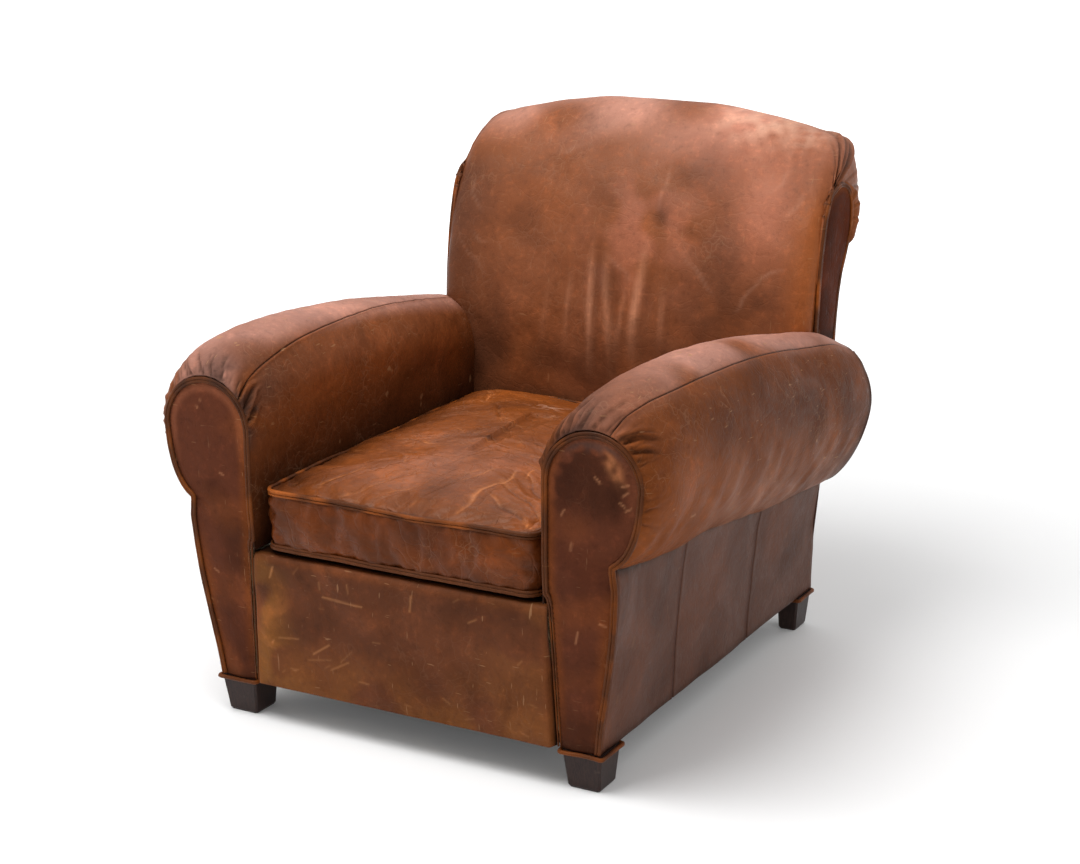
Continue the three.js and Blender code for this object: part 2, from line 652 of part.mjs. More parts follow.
function footWelt(end) {
  const { head, across, x, y } = FOOT[end];
  const round = 5;
  const halfX = (head * across) / 2 + CORD + GAP - round;
  const halfY = head / 2 + CORD + GAP - round;
  const ring = [];
  [[1, -1], [1, 1], [-1, 1], [-1, -1]].forEach(([sx, sy], k) => {
    [0, 45, 90].forEach((step) => {
      const angle = THREE.MathUtils.degToRad(-90 + 90 * k + step);
      const [px, py] = [sx * halfX + round * Math.cos(angle), sy * halfY + round * Math.sin(angle)];
      ring.push(new THREE.Vector3(x + px, y + py, BASE_Z - CORD - GAP));
    });
  });
  return cordAlong(ring, CORD, new THREE.Vector3(0, 0, 1), { closed: true });
}

function dustCover() {
  const { half, y: [front, rear] } = DUST;
  const notch = (end, side) => {
    const { head, across, x, y } = FOOT[end];
    const room = 2 * CORD + 2 * GAP;
    return [x - (head * across) / 2 - room, y + side * (head / 2 + room)];
  };
  const [frontX, frontY] = notch('front', 1);
  const [rearX, rearY] = notch('rear', -1);
  const right = [[frontX, front], [frontX, frontY], [half, frontY], [half, rearY], [rearX, rearY], [rearX, rear]];
  const outline = [...right, ...right.map(([x, y]) => [-x, y]).reverse()];
  return prism(outline, 'z', BASE_Z - 1.4, BASE_Z - GAP);
}

// ---- scene --------------------------------------------------------------------------------------
const LOOK = {
  leather: { color: 0x6f4028, roughness: 0.5, metalness: 0 },
  leatherDark: { color: 0x4a2c20, roughness: 0.5, metalness: 0 },
  leatherSeat: { color: 0x8a4c22, roughness: 0.4, metalness: 0 },
  piping: { color: 0x5a3320, roughness: 0.5, metalness: 0 },
  hardwood: { color: 0xb08a5c, roughness: 0.7, metalness: 0 },
  footWood: { color: 0x38251d, roughness: 0.4, metalness: 0 },
  padding: { color: 0xd8cfae, roughness: 0.95, metalness: 0 },
  cloth: { color: 0x2b2a28, roughness: 0.95, metalness: 0 },
  steel: { color: 0x8c8f92, roughness: 0.35, metalness: 1 },
};

const chair = new THREE.Group();

function add(name, geometry, look) {
  const mesh = new THREE.Mesh(geometry, new THREE.MeshStandardMaterial(LOOK[look]));
  mesh.name = name;
  chair.add(mesh);
}

const PAIRED = [
  ['arm_cover', armCover, 'leather'],
  ['arm_front_panel', armFrontPanel, 'leatherDark'],
  ['arm_piping', armPiping, 'piping'],
  ['outside_arm_panel', outsideArmPanel, 'leatherDark'],
  ['arm_pad', armPad, 'padding'],
  ['arm_facing_board', armFacingBoard, 'hardwood'],
  ['arm_board', () => boxBetween([BOARD.inner, BOARD.outer], [FACE_Y + 18, BACK_POST_Y[0] - GAP],
    [BOARD.under + GAP, BOARD.top]), 'hardwood'],
  ['front_post', () => boxBetween(POST_X, FRONT_POST_Y, [BASE_Z + 1, BOARD.under]), 'hardwood'],
  ['side_rail', sideRail, 'hardwood'],
  ['back_post', backPost, 'hardwood'],
  ['back_gusset', backGusset, 'leatherDark'],
  ['back_piping', backPiping, 'piping'],
];

SIDES.forEach(([sideName, side]) => {
  PAIRED.forEach(([name, make, look]) => add(`${name}_${sideName}`, mirrored(make(), side), look));
  ENDS.forEach((end) => {
    add(`foot_${end}_${sideName}`, mirrored(foot(end), side), 'footWood');
    add(`foot_bolt_${end}_${sideName}`, mirrored(footBolt(end), side), 'steel');
    add(`foot_welt_${end}_${sideName}`, mirrored(footWelt(end), side), 'piping');
    add(`corner_block_${end}_${sideName}`, mirrored(cornerBlock(end), side), 'hardwood');
  });
});

add('front_rail', frontRail(), 'hardwood');
add('front_rail_cover', frontRailCover(), 'leather');
add('back_rail', boxBetween(BETWEEN_POSTS, RAIL_BACK.y, RAIL_BACK.z), 'hardwood');
add('back_cross_rail', boxBetween(BETWEEN_POSTS, BACK_CROSS_RAIL.y, BACK_CROSS_RAIL.z), 'hardwood');
add('crest_rail', crestRail(), 'hardwood');
add('back_pad', backPad(), 'padding');
add('inside_back_cover', insideBackCover(), 'leather');
add('outside_back_cover', outsideBackCover(), 'leatherDark');
SPRING.x.forEach((x, i) => add(`seat_spring_${i + 1}`, seatSpring(x), 'steel'));
add('deck_pad', boxBetween([-DECK.halfX, DECK.halfX], DECK.y, DECK.z), 'padding');
add('deck_cover', boxBetween([-DECK.halfX, DECK.halfX], DECK.y, [DECK.z[1] + GAP, DECK.z[1] + 2]), 'cloth');
add('cushion_core', cushionBody(LEATHER + GAP), 'padding');
add('cushion_cover', cushionCover(), 'leatherSeat');
add('cushion_zip', cushionZip(), 'steel');
add('cushion_piping_top', cushionPiping(CUSHION.seamHigh), 'piping');
add('cushion_piping_bottom', cushionPiping(CUSHION.seamLow + 2), 'piping');
add('dust_cover', dustCover(), 'cloth');

export default chair;
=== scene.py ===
"""A worn leather club chair, built over its CAD frame. Shapes are worked out in millimetres."""
import math

import bmesh
import bpy
import numpy as np
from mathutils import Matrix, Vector


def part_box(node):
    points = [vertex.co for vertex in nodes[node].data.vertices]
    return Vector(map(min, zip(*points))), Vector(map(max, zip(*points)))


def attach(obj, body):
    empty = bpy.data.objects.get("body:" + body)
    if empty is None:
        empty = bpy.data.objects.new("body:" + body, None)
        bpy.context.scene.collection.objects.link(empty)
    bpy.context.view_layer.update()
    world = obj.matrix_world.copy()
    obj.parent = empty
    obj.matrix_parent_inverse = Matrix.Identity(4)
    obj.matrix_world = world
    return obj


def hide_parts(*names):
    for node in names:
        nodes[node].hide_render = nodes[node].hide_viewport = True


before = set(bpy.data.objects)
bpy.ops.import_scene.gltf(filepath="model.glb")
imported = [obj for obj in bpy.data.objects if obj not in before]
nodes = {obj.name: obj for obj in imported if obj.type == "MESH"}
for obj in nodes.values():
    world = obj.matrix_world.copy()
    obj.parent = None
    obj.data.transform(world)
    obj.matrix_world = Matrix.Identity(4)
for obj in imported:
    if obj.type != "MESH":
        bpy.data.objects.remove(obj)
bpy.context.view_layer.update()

# ---- driving dimensions, the same as the frame's ----
LEATHER = 2.4
PANEL_LEATHER = 1.8
BASE_Z = 62
FACE_Y = -486
ARM_START_Y = -482.1
ARM_HEAD_Y = ARM_START_Y - 5.2
ARM_END_Y = 346.2
ARM_WALL_Z = 284
NECK_Z = 354
LEAN = 20
LEAN_HOLD = 25
LEAN_FADE = 120
BACK_HALF = 354
CREST_Z = 892
CREST_FALL = 50
BACK_DOME = 36
RAIL = {"top_y": -482, "low_y": -475, "top_z": 278, "half_top": 253.5, "half_low": 260.5}
CUSHION = {"front": 234, "rear": 252, "y": (-476, 214), "corner": 40, "low": 290, "high": 379, "crown": 408}

ARM = {
    "top": [(-488, 548), (-468, 572), (-448, 585), (-412, 595), (-318, 602), (-218, 601), (-78, 591),
            (22, 577), (122, 562), (222, 546), (271, 534), (349, 503)],
    "inner": [(-488, 249), (-300, 250), (-100, 254), (50, 262), (150, 270), (250, 279), (349, 288)],
    "outer": [(-488, 407), (-472, 416), (-450, 423), (-400, 429), (-300, 432), (-100, 433), (150, 433),
              (349, 431)],
    "in_tangent": [(-488, 467), (-400, 490), (-300, 505), (-100, 500), (100, 470), (250, 440), (349, 415)],
    "out_tangent": [(-488, 467), (-300, 470), (0, 445), (250, 418), (349, 412)],
    "low": [(-488, 354), (-457, 345), (-400, 335), (-335, 328), (-197, 320), (-85, 306), (34, 291),
            (160, 278), (249, 270), (349, 260)],
    "neck": [(-488, 361), (-440, 357), (-300, 352), (349, 347)],
    "power": [(-488, 2), (-300, 1.9), (0, 1.75), (349, 1.55)],
}
BACK_MIDDLE = [(226, 284), (225, 385), (230, 470), (240, 560), (257, 650), (281, 730), (314, 800), (352, 852),
               (388, 881), (424, 892), (459, 876), (482, 836), (490, 780), (485, 727), (465, 686), (437, 662),
               (404, 656)]
BACK_EDGE = [(262, 284), (262, 385), (263, 470), (267, 560), (275, 640), (285, 690), (297, 730), (313, 756),
             (334, 772), (364, 780), (396, 773), (420, 755), (434, 732), (430, 708), (419, 688), (407, 670),
             (396, 658)]
OUTSIDE_BACK = [(349, 63), (349, 480), (352, 530), (360, 580), (373, 622), (391, 651)]

# points behind the good face of each cover
ARM_INSIDE = (335, 0, 440)
BACK_INSIDE = (0, 370, 600)
CUSHION_MIDDLE = (0, -130, 340)

NEAR_SEAM = (-6, -3.6, -2, -1, 0, 1, 2, 3.6, 6)
LUMP_WAVES = 12
WALL_POINTS = 24
ARC_POINTS = 60
RING_COUNT = 220
CLOTH_FRAMES = 20
TRAVEL_CAP = 9
PLAIN_WEAR = 0.3
SIDE_WEAR = 0.2

# ---- numeric helpers ----
def curve(pairs):
    """A smooth function through pairs of a place and a value, level past its ends."""
    xs, vs = np.array(pairs, float).T
    ends = np.clip(np.arange(len(xs))[:, None] + [-1, 1], 0, len(xs) - 1)
    slope = (vs[ends[:, 1]] - vs[ends[:, 0]]) / (xs[ends[:, 1]] - xs[ends[:, 0]])

    def at(x):
        x = np.clip(x, xs[0], xs[-1])
        i = np.clip(np.searchsorted(xs, x, side="right") - 1, 0, len(xs) - 2)
        h = xs[i + 1] - xs[i]
        t = (x - xs[i]) / h
        return ((2 * t**3 - 3 * t**2 + 1) * vs[i] + (t**3 - 2 * t**2 + t) * h * slope[i]
                + (3 * t**2 - 2 * t**3) * vs[i + 1] + (t**3 - t**2) * h * slope[i + 1])
    return at


def spline(points, count):
    """A smooth line through the points, evenly spaced along its length."""
    points = np.array(points, float)
    knots = np.arange(len(points))
    fine = np.linspace(0, len(points) - 1, 400)
    line = np.stack([curve(list(zip(knots, points[:, k])))(fine) for k in range(points.shape[1])], 1)
    return resample(line, count)


def lengths(line):
    return np.concatenate([[0], np.cumsum(np.linalg.norm(np.diff(line, axis=0), axis=1))])


def resample(line, count):
    """A line's points at a number of even steps, or at given distances along it."""
    s = lengths(line)
    at = np.linspace(0, s[-1], count) if np.isscalar(count) else np.asarray(count)
    return np.stack([np.interp(at, s, line[:, k]) for k in range(line.shape[1])], 1)


def soft(x, a, b):
    """0 at a and 1 at b, with a smooth change between them."""
    t = np.clip((x - a) / (b - a), 0, 1)
    return t * t * (3 - 2 * t)


def bump(x, width):
    return np.exp(-((x / width) ** 2))


def lumps(p, size, seed):
    """Smooth noise over points, about -1 to 1, with features of one size in millimetres."""
    own = np.random.default_rng(seed)
    total = np.zeros(p.shape[:-1])
    for _ in range(LUMP_WAVES):
        d = own.normal(size=p.shape[-1])
        d *= own.uniform(0.6, 1.5) * 2 * math.pi / size / np.linalg.norm(d)
        total += np.sin(p @ d + own.uniform(0, 6.28))
    return total / math.sqrt(LUMP_WAVES)


def to_segment(p, a, b):
    """Distance from flat points to a segment, and the share of the way along it."""
    a, b = np.array(a, float), np.array(b, float)
    t = np.clip(((p - a) @ (b - a)) / ((b - a) @ (b - a)), 0, 1)
    return np.linalg.norm(p - (a + t[..., None] * (b - a)), axis=-1), t


def side_of(p, a, b):
    """1 or -1: the side of the line from a to b that flat points lie on."""
    return np.sign((p[..., 0] - a[0]) * (b[1] - a[1]) - (p[..., 1] - a[1]) * (b[0] - a[0]))


def nearest(x, z, line):
    """Distance from each point to an outline."""
    reach = np.full(x.shape, 1e9)
    for p in line[::3]:
        reach = np.minimum(reach, np.hypot(x - p[0], z - p[1]))
    return reach


def between(line, low, bend, rows, head_rows, gap, across):
    """A grid inside an outline with one crown: even rows up to the bend, and closer ones above it."""
    crown = np.argmax(line[:, 1])
    head = np.sin(np.linspace(0, np.pi / 2, head_rows)[1:])
    zs = np.concatenate([np.linspace(low, bend, rows), bend + (line[crown, 1] - gap - bend) * head])
    ends = []
    for part in (line[:crown + 1], line[crown:][::-1]):
        order = np.argsort(part[:, 1])
        ends.append(np.interp(zs, part[order, 1], part[order, 0])[:, None])
    width = ends[0] + (ends[1] - ends[0]) * across
    return width, np.broadcast_to(zs[:, None], width.shape)


def spaced(start, end, step, marks=()):
    """Positions from start to end, with a close set of positions round each mark."""
    cuts = [start] + sorted(marks) + [end]
    out = []
    for k, (a, b) in enumerate(zip(cuts[:-1], cuts[1:])):
        lo = a if k == 0 else a + NEAR_SEAM[-1] + 2
        hi = b if k == len(cuts) - 2 else b + NEAR_SEAM[0] - 2
        out += list(np.linspace(lo, hi, max(int((hi - lo) / step) + 2, 2)))
        if k < len(cuts) - 2:
            out += [b + near for near in NEAR_SEAM]
    return np.array(out)


def normals(grid):
    du = np.gradient(grid, axis=0)
    dv = np.gradient(grid, axis=1)
    n = np.cross(du, dv)
    return n / np.maximum(np.linalg.norm(n, axis=2, keepdims=True), 1e-9)


def colour(r, g, b):
    """An sRGB colour, 0 to 255, as linear values."""
    c = np.array([r, g, b]) / 255
    return np.where(c <= 0.04045, c / 12.92, ((c + 0.055) / 1.055) ** 2.4)


def mix(base, other, amount):
    """One colour turned into another, by an amount for each point."""
    return base + (other - base) * np.clip(amount, 0, 1)[..., None]


# ---- colours ----
BROWN = colour(112, 62, 36)
WARM = colour(126, 68, 34)
ORANGE = colour(142, 74, 27)
PINK = colour(178, 112, 90)
PALE = colour(222, 176, 150)
GREY = colour(66, 50, 46)
DARK = colour(46, 23, 14)
CORD_BROWN = WARM * 0.35
DEEP = colour(16, 8, 5)
FACING = colour(74, 38, 24)
SIDE = colour(88, 60, 50)
ARM_SHEEN_AND_RUB = colour(186, 138, 124)
INNER_BAND = colour(132, 88, 70)
UNDER_ROLL_REFLECTION = colour(140, 98, 78)
PANEL_RIM = colour(122, 70, 48)
SCAR = colour(186, 118, 76)
TICK = colour(190, 130, 92)
SIDE_SEAM = colour(58, 24, 16)
CREST_SHEEN_AND_RUB = colour(196, 142, 124)
GUSSET = colour(76, 34, 18)
FOLD_HIGHLIGHT = colour(196, 136, 104)
RAIL_FOOT = colour(118, 70, 30)
RAIL_LEFT = colour(132, 84, 34)
RAIL_RIGHT = colour(120, 72, 34)
RAIL_SCRATCH = colour(196, 134, 84)
SEAT_SHEEN = colour(146, 92, 70)
SEAT_CREASE = colour(206, 130, 78)
BOXING = colour(80, 33, 8)


class Paint:
    """The colour at each point of a grid, laid on in coats."""

    def __init__(self, base, points):
        self.points = points
        self.colour = np.broadcast_to(base, points.shape).copy()

    def coat(self, colour, amount, patches=None):
        """Patches are a noise's size and seed, and the two values that it fades in between."""
        if patches:
            size, seed, low, high = patches
            amount = amount * soft(lumps(self.points, size, seed), low, high)
        self.colour = mix(self.colour, colour, amount)


# ---- mesh helpers ----
def make(name, points, quads, material, paint, wear, node_names):
    """A smooth piece that stands for CAD nodes, with a colour for each point and its wear as alpha."""
    mesh = bpy.data.meshes.new(name)
    mesh.vertices.add(len(points))
    mesh.vertices.foreach_set("co", (np.asarray(points) * 0.001).astype(np.float32).ravel())
    quads = np.asarray(quads, np.int32)
    mesh.loops.add(quads.size)
    mesh.loops.foreach_set("vertex_index", quads.ravel())
    mesh.polygons.add(len(quads))
    mesh.polygons.foreach_set("loop_start", np.arange(0, quads.size, 4, dtype=np.int32))
    mesh.update(calc_edges=True)
    mesh.polygons.foreach_set("use_smooth", np.ones(len(quads), bool))
    piece = bpy.data.objects.new(name, mesh)
    bpy.context.scene.collection.objects.link(piece)
    painted = np.ones((len(points), 4), np.float32)
    painted[:, :3] = paint
    painted[:, 3] = wear
    mesh.attributes.new("paint", "FLOAT_COLOR", "POINT").data.foreach_set("color", painted.ravel())
    mesh.materials.append(material)
    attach(piece, "root")
    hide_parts(*node_names)
    return piece


def strips(rows, cols, wrap_rows=False, wrap_cols=False):
    r = np.arange(rows if wrap_rows else rows - 1)[:, None]
    c = np.arange(cols if wrap_cols else cols - 1)[None, :]
    r1, c1 = (r + 1) % rows, (c + 1) % cols
    return np.stack([r * cols + c, r * cols + c1, r1 * cols + c1, r1 * cols + c], -1).reshape(-1, 4)


def shell(name, grid, inside, material, paint, wear, node_names, thick=LEATHER, side=1):
    """A closed sheet of leather: the grid is its good face, and inside is a point behind it.

    Side -1 mirrors it, for the left half of the chair.
    """
    mirror = np.array([side, 1, 1])
    grid = grid * mirror
    rows, cols = grid.shape[:2]
    n = normals(grid)
    away = 1 if np.sum(n * (grid - np.array(inside) * mirror)) > 0 else -1
    back = grid - n * away * thick
    face = strips(rows, cols)
    count = rows * cols
    rim = np.concatenate([np.arange(cols), np.arange(1, rows) * cols + cols - 1,
                          (rows - 1) * cols + np.arange(cols - 2, -1, -1), np.arange(rows - 2, 0, -1) * cols])
    nxt = np.roll(rim, -1)
    edge = np.stack([rim, rim + count, nxt + count, nxt], 1)
    quads = np.concatenate([face, face[:, ::-1] + count, edge])
    if away < 0:
        quads = quads[:, ::-1]
    points = np.concatenate([grid.reshape(-1, 3), back.reshape(-1, 3)])
    paint = np.concatenate([paint.colour.reshape(-1, 3)] * 2)
    wear = np.concatenate([np.broadcast_to(wear, (rows, cols)).ravel()] * 2)
    return make(name, points, quads[:, ::-1], material, paint, wear, node_names)


def tube(path, radius, sides=10, closed=False, up=(0, 0, 1)):
    """Points and faces of a round cord along a path."""
    path = np.asarray(path, float)
    if closed:
        along = np.roll(path, -1, 0) - np.roll(path, 1, 0)
    else:
        along = np.gradient(path, axis=0)
    along /= np.linalg.norm(along, axis=1, keepdims=True)
    across = np.cross(np.broadcast_to(np.array(up, float), along.shape), along)
    across /= np.maximum(np.linalg.norm(across, axis=1, keepdims=True), 1e-9)
    over = np.cross(along, across)
    angle = (np.arange(sides) * 2 * math.pi / sides)[None, :, None]
    radius = np.broadcast_to(np.asarray(radius, float), len(path))[:, None, None]
    ring = across[:, None] * np.cos(angle) + over[:, None] * np.sin(angle)
    points = (path[:, None] + ring * radius).reshape(-1, 3)
    quads = strips(len(path), sides, wrap_rows=closed, wrap_cols=True)
    if closed:
        return points, quads
    caps = []
    half = sides // 2
    for row, turn in ((0, 1), (len(path) - 1, -1)):
        ids = row * sides + np.arange(sides)
        for k in range(half - 1):
            q = [ids[k], ids[k + 1], ids[(sides - 2 - k) % sides], ids[(sides - 1 - k) % sides]]
            caps.append(q[::turn])
    return points, np.concatenate([quads, np.array(caps)])


def join(parts):
    """Several sets of points and faces as one."""
    points, quads, start = [], [], 0
    for p, q in parts:
        points.append(p)
        quads.append(q + start)
        start += len(p)
    return np.concatenate(points), np.concatenate(quads)


def face_out(piece):
    """Turns the faces of a closed piece outwards."""
    work = bmesh.new()
    work.from_mesh(piece.data)
    bmesh.ops.recalc_face_normals(work, faces=work.faces)
    work.to_mesh(piece.data)
    work.free()


def piping(name, node_name, cords, base, light, dark_above=None):
    """Rubbed cords sewn into a seam, as one piece. They may be blackened above a height."""
    points, quads = join(cords)
    rub_and_sheen = soft(0.5 + 0.5 * lumps(points, 55, 3), 0.35, 0.95)
    paint = mix(np.broadcast_to(base, points.shape), light, rub_and_sheen)
    if dark_above:
        black = soft(points[:, 2], dark_above, dark_above + 50) * soft(lumps(points, 70, 83), -0.9, 0.6)
        paint = mix(paint, DARK * 0.8, 0.75 * black)
    face_out(make(name, points, quads, PIPING, paint, PLAIN_WEAR, [node_name]))


# ---- materials ----
class Graph:
    """Short names for building a node tree."""

    def __init__(self, name):
        self.material = bpy.data.materials.new(name)
        self.material.use_nodes = True
        self.tree = self.material.node_tree
        self.tree.nodes.clear()
        self.shader = self.node("BsdfPrincipled")
        self.node("OutputMaterial", {"Surface": self.shader.outputs[0]})
        self.coords = self.node("TexCoord").outputs["Object"]

    def node(self, kind, sockets=None, **settings):
        """A new node, with its own settings first and then its sockets."""
        node = self.tree.nodes.new("ShaderNode" + kind)
        for key, value in settings.items():
            setattr(node, key, value)
        self.put(node, sockets or {})
        return node

    def put(self, node, sockets):
        """Links a socket to another node's, or sets its number or colour."""
        for key, value in sockets.items():
            if isinstance(value, bpy.types.NodeSocket):
                self.tree.links.new(value, node.inputs[key])
            else:
                node.inputs[key].default_value = value

    def noise(self, scale, detail, rough=0.55, distort=0.0, at=None):
        return self.node("TexNoise", {"Vector": at or self.coords, "Scale": scale, "Detail": detail,
                                      "Roughness": rough, "Distortion": distort}).outputs["Fac"]

    def voronoi(self, scale, feature, at=None):
        return self.node("TexVoronoi", {"Vector": at or self.coords, "Scale": scale},
                         feature=feature).outputs["Distance"]

    def math(self, kind, a, b):
        return self.node("Math", {0: a, 1: b}, operation=kind).outputs[0]

    def times(self, a, b):
        return self.math("MULTIPLY", a, b)

    def plus(self, a, b):
        return self.math("ADD", a, b)

    def span(self, value, low, high, to_low=0.0, to_high=1.0):
        """A value that eases from to_low to to_high as the given one goes from low to high."""
        return self.node("MapRange", {"Value": value, "From Min": low, "From Max": high, "To Min": to_low,
                                      "To Max": to_high}, interpolation_type="SMOOTHSTEP").outputs["Result"]

    def mix(self, amount, a, b, kind="MIX"):
        a, b = [v if isinstance(v, bpy.types.NodeSocket) else (*v, 1) for v in (a, b)]
        return self.node("Mix", {0: amount, 6: a, 7: b}, data_type="RGBA", blend_type=kind,
                         clamp_factor=True).outputs[2]

    def tint(self, value, low, high, most, base, colour):
        """The base colour multiplied by another, where a value passes from low to high."""
        return self.mix(self.span(value, low, high, 0, most), base, colour, "MULTIPLY")

    def turned(self, scale, turn=(0, 0, 0)):
        return self.node("Mapping", {"Vector": self.coords, "Scale": scale, "Rotation": turn}).outputs[0]

    def warped(self, scale, amount):
        """The coordinates, pushed about by a noise."""
        noise = self.node("TexNoise", {"Vector": self.coords, "Scale": scale, "Detail": 3})
        return self.node("Mix", {0: amount, 4: self.coords, 5: noise.outputs["Color"]},
                         data_type="VECTOR").outputs[1]

    def finish(self, base, rough, height, depth, strength, coat=0.0, coat_rough=0.3, gloss=0.5,
               shine=(1, 1, 1)):
        relief = self.node("Bump", {"Strength": strength, "Distance": depth, "Height": height})
        self.put(self.shader, {"Base Color": base, "Roughness": rough, "Specular IOR Level": gloss,
                               "Specular Tint": (*shine, 1), "Coat Weight": coat,
                               "Coat Roughness": coat_rough, "Normal": relief.outputs[0]})
        return self.material


def leather(name, rough, veins, scratch, mottle, gloss, coat=0.0, crease=0.3):
    """Waxed hide over the painted colour: mottling, pale cracks, short scratches, grain and a warm gloss."""
    g = Graph(name)
    attribute = g.node("Attribute", attribute_name="paint")
    paint, wear = attribute.outputs["Color"], attribute.outputs["Alpha"]
    cloud = g.noise(8, 6, 0.62, 0.6)
    speck = g.noise(75, 5, 0.65)
    tone = g.tint(cloud, 0.48, 0.66, mottle, paint, (0.34, 0.28, 0.26))
    tone = g.tint(cloud, 0.46, 0.3, mottle, tone, (2.3, 2.2, 2.1))
    tone = g.tint(speck, 0.5, 0.74, 0.35, tone, (1.9, 1.8, 1.7))
    tone = g.tint(speck, 0.46, 0.3, 0.3, tone, (0.4, 0.36, 0.34))
    patch = g.span(g.noise(5.5, 3, 0.6, 0.4), 0.47, 0.62)
    # fine cracks that show the pale hide
    crack = g.voronoi(26, "DISTANCE_TO_EDGE", g.warped(9, 0.16))
    fine = g.voronoi(70, "DISTANCE_TO_EDGE", g.warped(24, 0.07))
    thin = g.math("MAXIMUM", g.span(crack, 0.02, 0.002), g.times(g.span(fine, 0.04, 0.006), 0.6))
    worn = g.times(thin, g.times(patch, g.plus(wear, 0.15)))
    tone = g.mix(g.times(worn, veins), tone, (0.4, 0.22, 0.13))
    # short scratches in two directions
    streaks = []
    for scale, size, turn in ((1.0, (230, 30, 30), (0.4, 0.7, 0.3)), (1.1, (28, 34, 250), (0.3, 0.5, 1.2))):
        streaks.append(g.span(g.noise(scale, 1.5, 0.5, 0.2, g.turned(size, turn)), 0.72, 0.76))
    marks = g.times(g.math("MAXIMUM", *streaks), g.times(scratch, g.span(wear, 0.0, 0.8, 0.3, 1.0)))
    tone = g.mix(marks, tone, (0.36, 0.19, 0.09))
    height = g.plus(g.times(g.voronoi(520, "F1"), 0.28), g.times(g.noise(210, 3, 0.6), 0.5))
    height = g.plus(height, g.times(g.span(crack, 0.0, 0.08), crease))
    height = g.plus(height, g.times(g.noise(28, 4, 0.55, 0.5), 1.2))
    polish = g.plus(g.span(cloud, 0.3, 0.7, rough - 0.07, rough + 0.1), g.times(wear, 0.08))
    polish = g.plus(polish, g.span(speck, 0.35, 0.65, -0.05, 0.06))
    return g.finish(tone, polish, height, 0.0011, 0.55, coat, 0.32, gloss, (1, 0.72, 0.56))


def dark_wood(name):
    g = Graph(name)
    grain = g.noise(9, 6, 0.6, 1.4, g.turned((40, 40, 4)))
    base = g.mix(g.span(grain, 0.35, 0.65), (0.016, 0.007, 0.006), (0.034, 0.016, 0.012))
    base = g.mix(g.span(g.noise(60, 4), 0.62, 0.75, 0, 0.5), base, (0.09, 0.055, 0.042))
    height = g.plus(grain, g.times(g.noise(320, 3), 0.3))
    return g.finish(base, g.span(grain, 0.3, 0.7, 0.32, 0.46), height, 0.0005, 0.4, 0.04, 0.25, 0.2)


def raw_wood(name):
    g = Graph(name)
    grain = g.noise(6, 6, 0.6, 1.6, g.turned((6, 30, 30)))
    base = g.mix(g.span(grain, 0.35, 0.65), (0.42, 0.28, 0.16), (0.6, 0.45, 0.28))
    return g.finish(base, g.span(grain, 0.3, 0.7, 0.6, 0.75), grain, 0.0006, 0.4)


def woven(name, dark, light, scale):
    g = Graph(name)
    across, along = [g.node("TexWave", {"Scale": scale, "Distortion": 0.6, "Vector": g.coords},
                            bands_direction=axis).outputs["Fac"] for axis in ("X", "Y")]
    weave = g.times(across, along)
    base = g.mix(g.plus(g.times(weave, 0.6), g.times(g.noise(14, 4), 0.5)), dark, light)
    return g.finish(base, 0.9, weave, 0.0006, 0.5)


def steel(name):
    g = Graph(name)
    stain = g.noise(30, 5)
    base = g.mix(g.span(stain, 0.4, 0.7), (0.55, 0.55, 0.56), (0.36, 0.35, 0.34))
    g.shader.inputs["Metallic"].default_value = 1.0
    return g.finish(base, g.span(stain, 0.3, 0.7, 0.28, 0.45), stain, 0.0003, 0.2)


ARM_LEATHER = leather("arm_leather", rough=0.4, veins=0.24, scratch=0.5, mottle=0.26, gloss=0.06)
BACK_LEATHER = leather("back_leather", rough=0.45, veins=0.24, scratch=0.3, mottle=0.2, gloss=0.2, coat=0.03)
SEAT_LEATHER = leather("seat_leather", rough=0.31, veins=0.18, scratch=0.12, mottle=0.34, gloss=0.17,
                       coat=0.05, crease=0.7)
DARK_LEATHER = leather("dark_leather", rough=0.5, veins=0.1, scratch=0.35, mottle=0.26, gloss=0.05)
GUSSET_LEATHER = leather("gusset_leather", rough=0.5, veins=0.1, scratch=0.2, mottle=0.2, gloss=0.015)
RAIL_LEATHER = leather("rail_leather", rough=0.5, veins=0.08, scratch=0.5, mottle=0.38, gloss=0.12)
SIDE_LEATHER = leather("side_leather", rough=0.52, veins=0.05, scratch=0.25, mottle=0.14, gloss=0.12)
PIPING = leather("piping", rough=0.45, veins=0.15, scratch=0.2, mottle=0.25, gloss=0.16)


# ---- arms ----
arm_at = {key: curve(pairs) for key, pairs in ARM.items()}


def arm_line(y, lift=0.0):
    """The right arm in section at y: up the inside wall, over the roll, down to the neck."""
    at = {key: float(f(y)) for key, f in arm_at.items()}
    top = at["top"] + lift
    middle, half = (at["inner"] + at["outer"]) / 2, (at["outer"] - at["inner"]) / 2
    wall = np.linspace(ARM_WALL_Z, at["in_tangent"], WALL_POINTS)
    parts = [np.stack([np.full(WALL_POINTS, at["inner"]), wall], 1)]
    for tangent, start, end in ((at["in_tangent"], 180, 90), (at["out_tangent"], 90, 0)):
        turn = np.radians(np.linspace(start, end, ARC_POINTS))
        arc = np.stack([middle + half * np.cos(turn), tangent + (top - tangent) * np.sin(turn)], 1)
        parts.append(arc[1:])
    reach = max((at["neck"] - middle) / half, 0)
    power = at["power"]
    drop = (at["out_tangent"] - at["low"]) / (1 - reach**power) ** (1 / power)
    share = np.linspace(0, 1, ARC_POINTS)
    across = np.sin(np.pi / 2 + (np.arcsin(reach) - np.pi / 2) * share)
    foot = at["neck"] - middle - reach * half
    under = np.stack([middle + half * across + foot * share**2,
                      at["out_tangent"] - drop * np.maximum(1 - across**power, 0) ** (1 / power)], 1)
    return np.concatenate(parts + [under[1:]])


def panel_lean(z):
    """How far the arm's front leans back below the neck."""
    return LEAN * np.clip((NECK_Z - z) / (NECK_Z - BASE_Z), 0, 1)


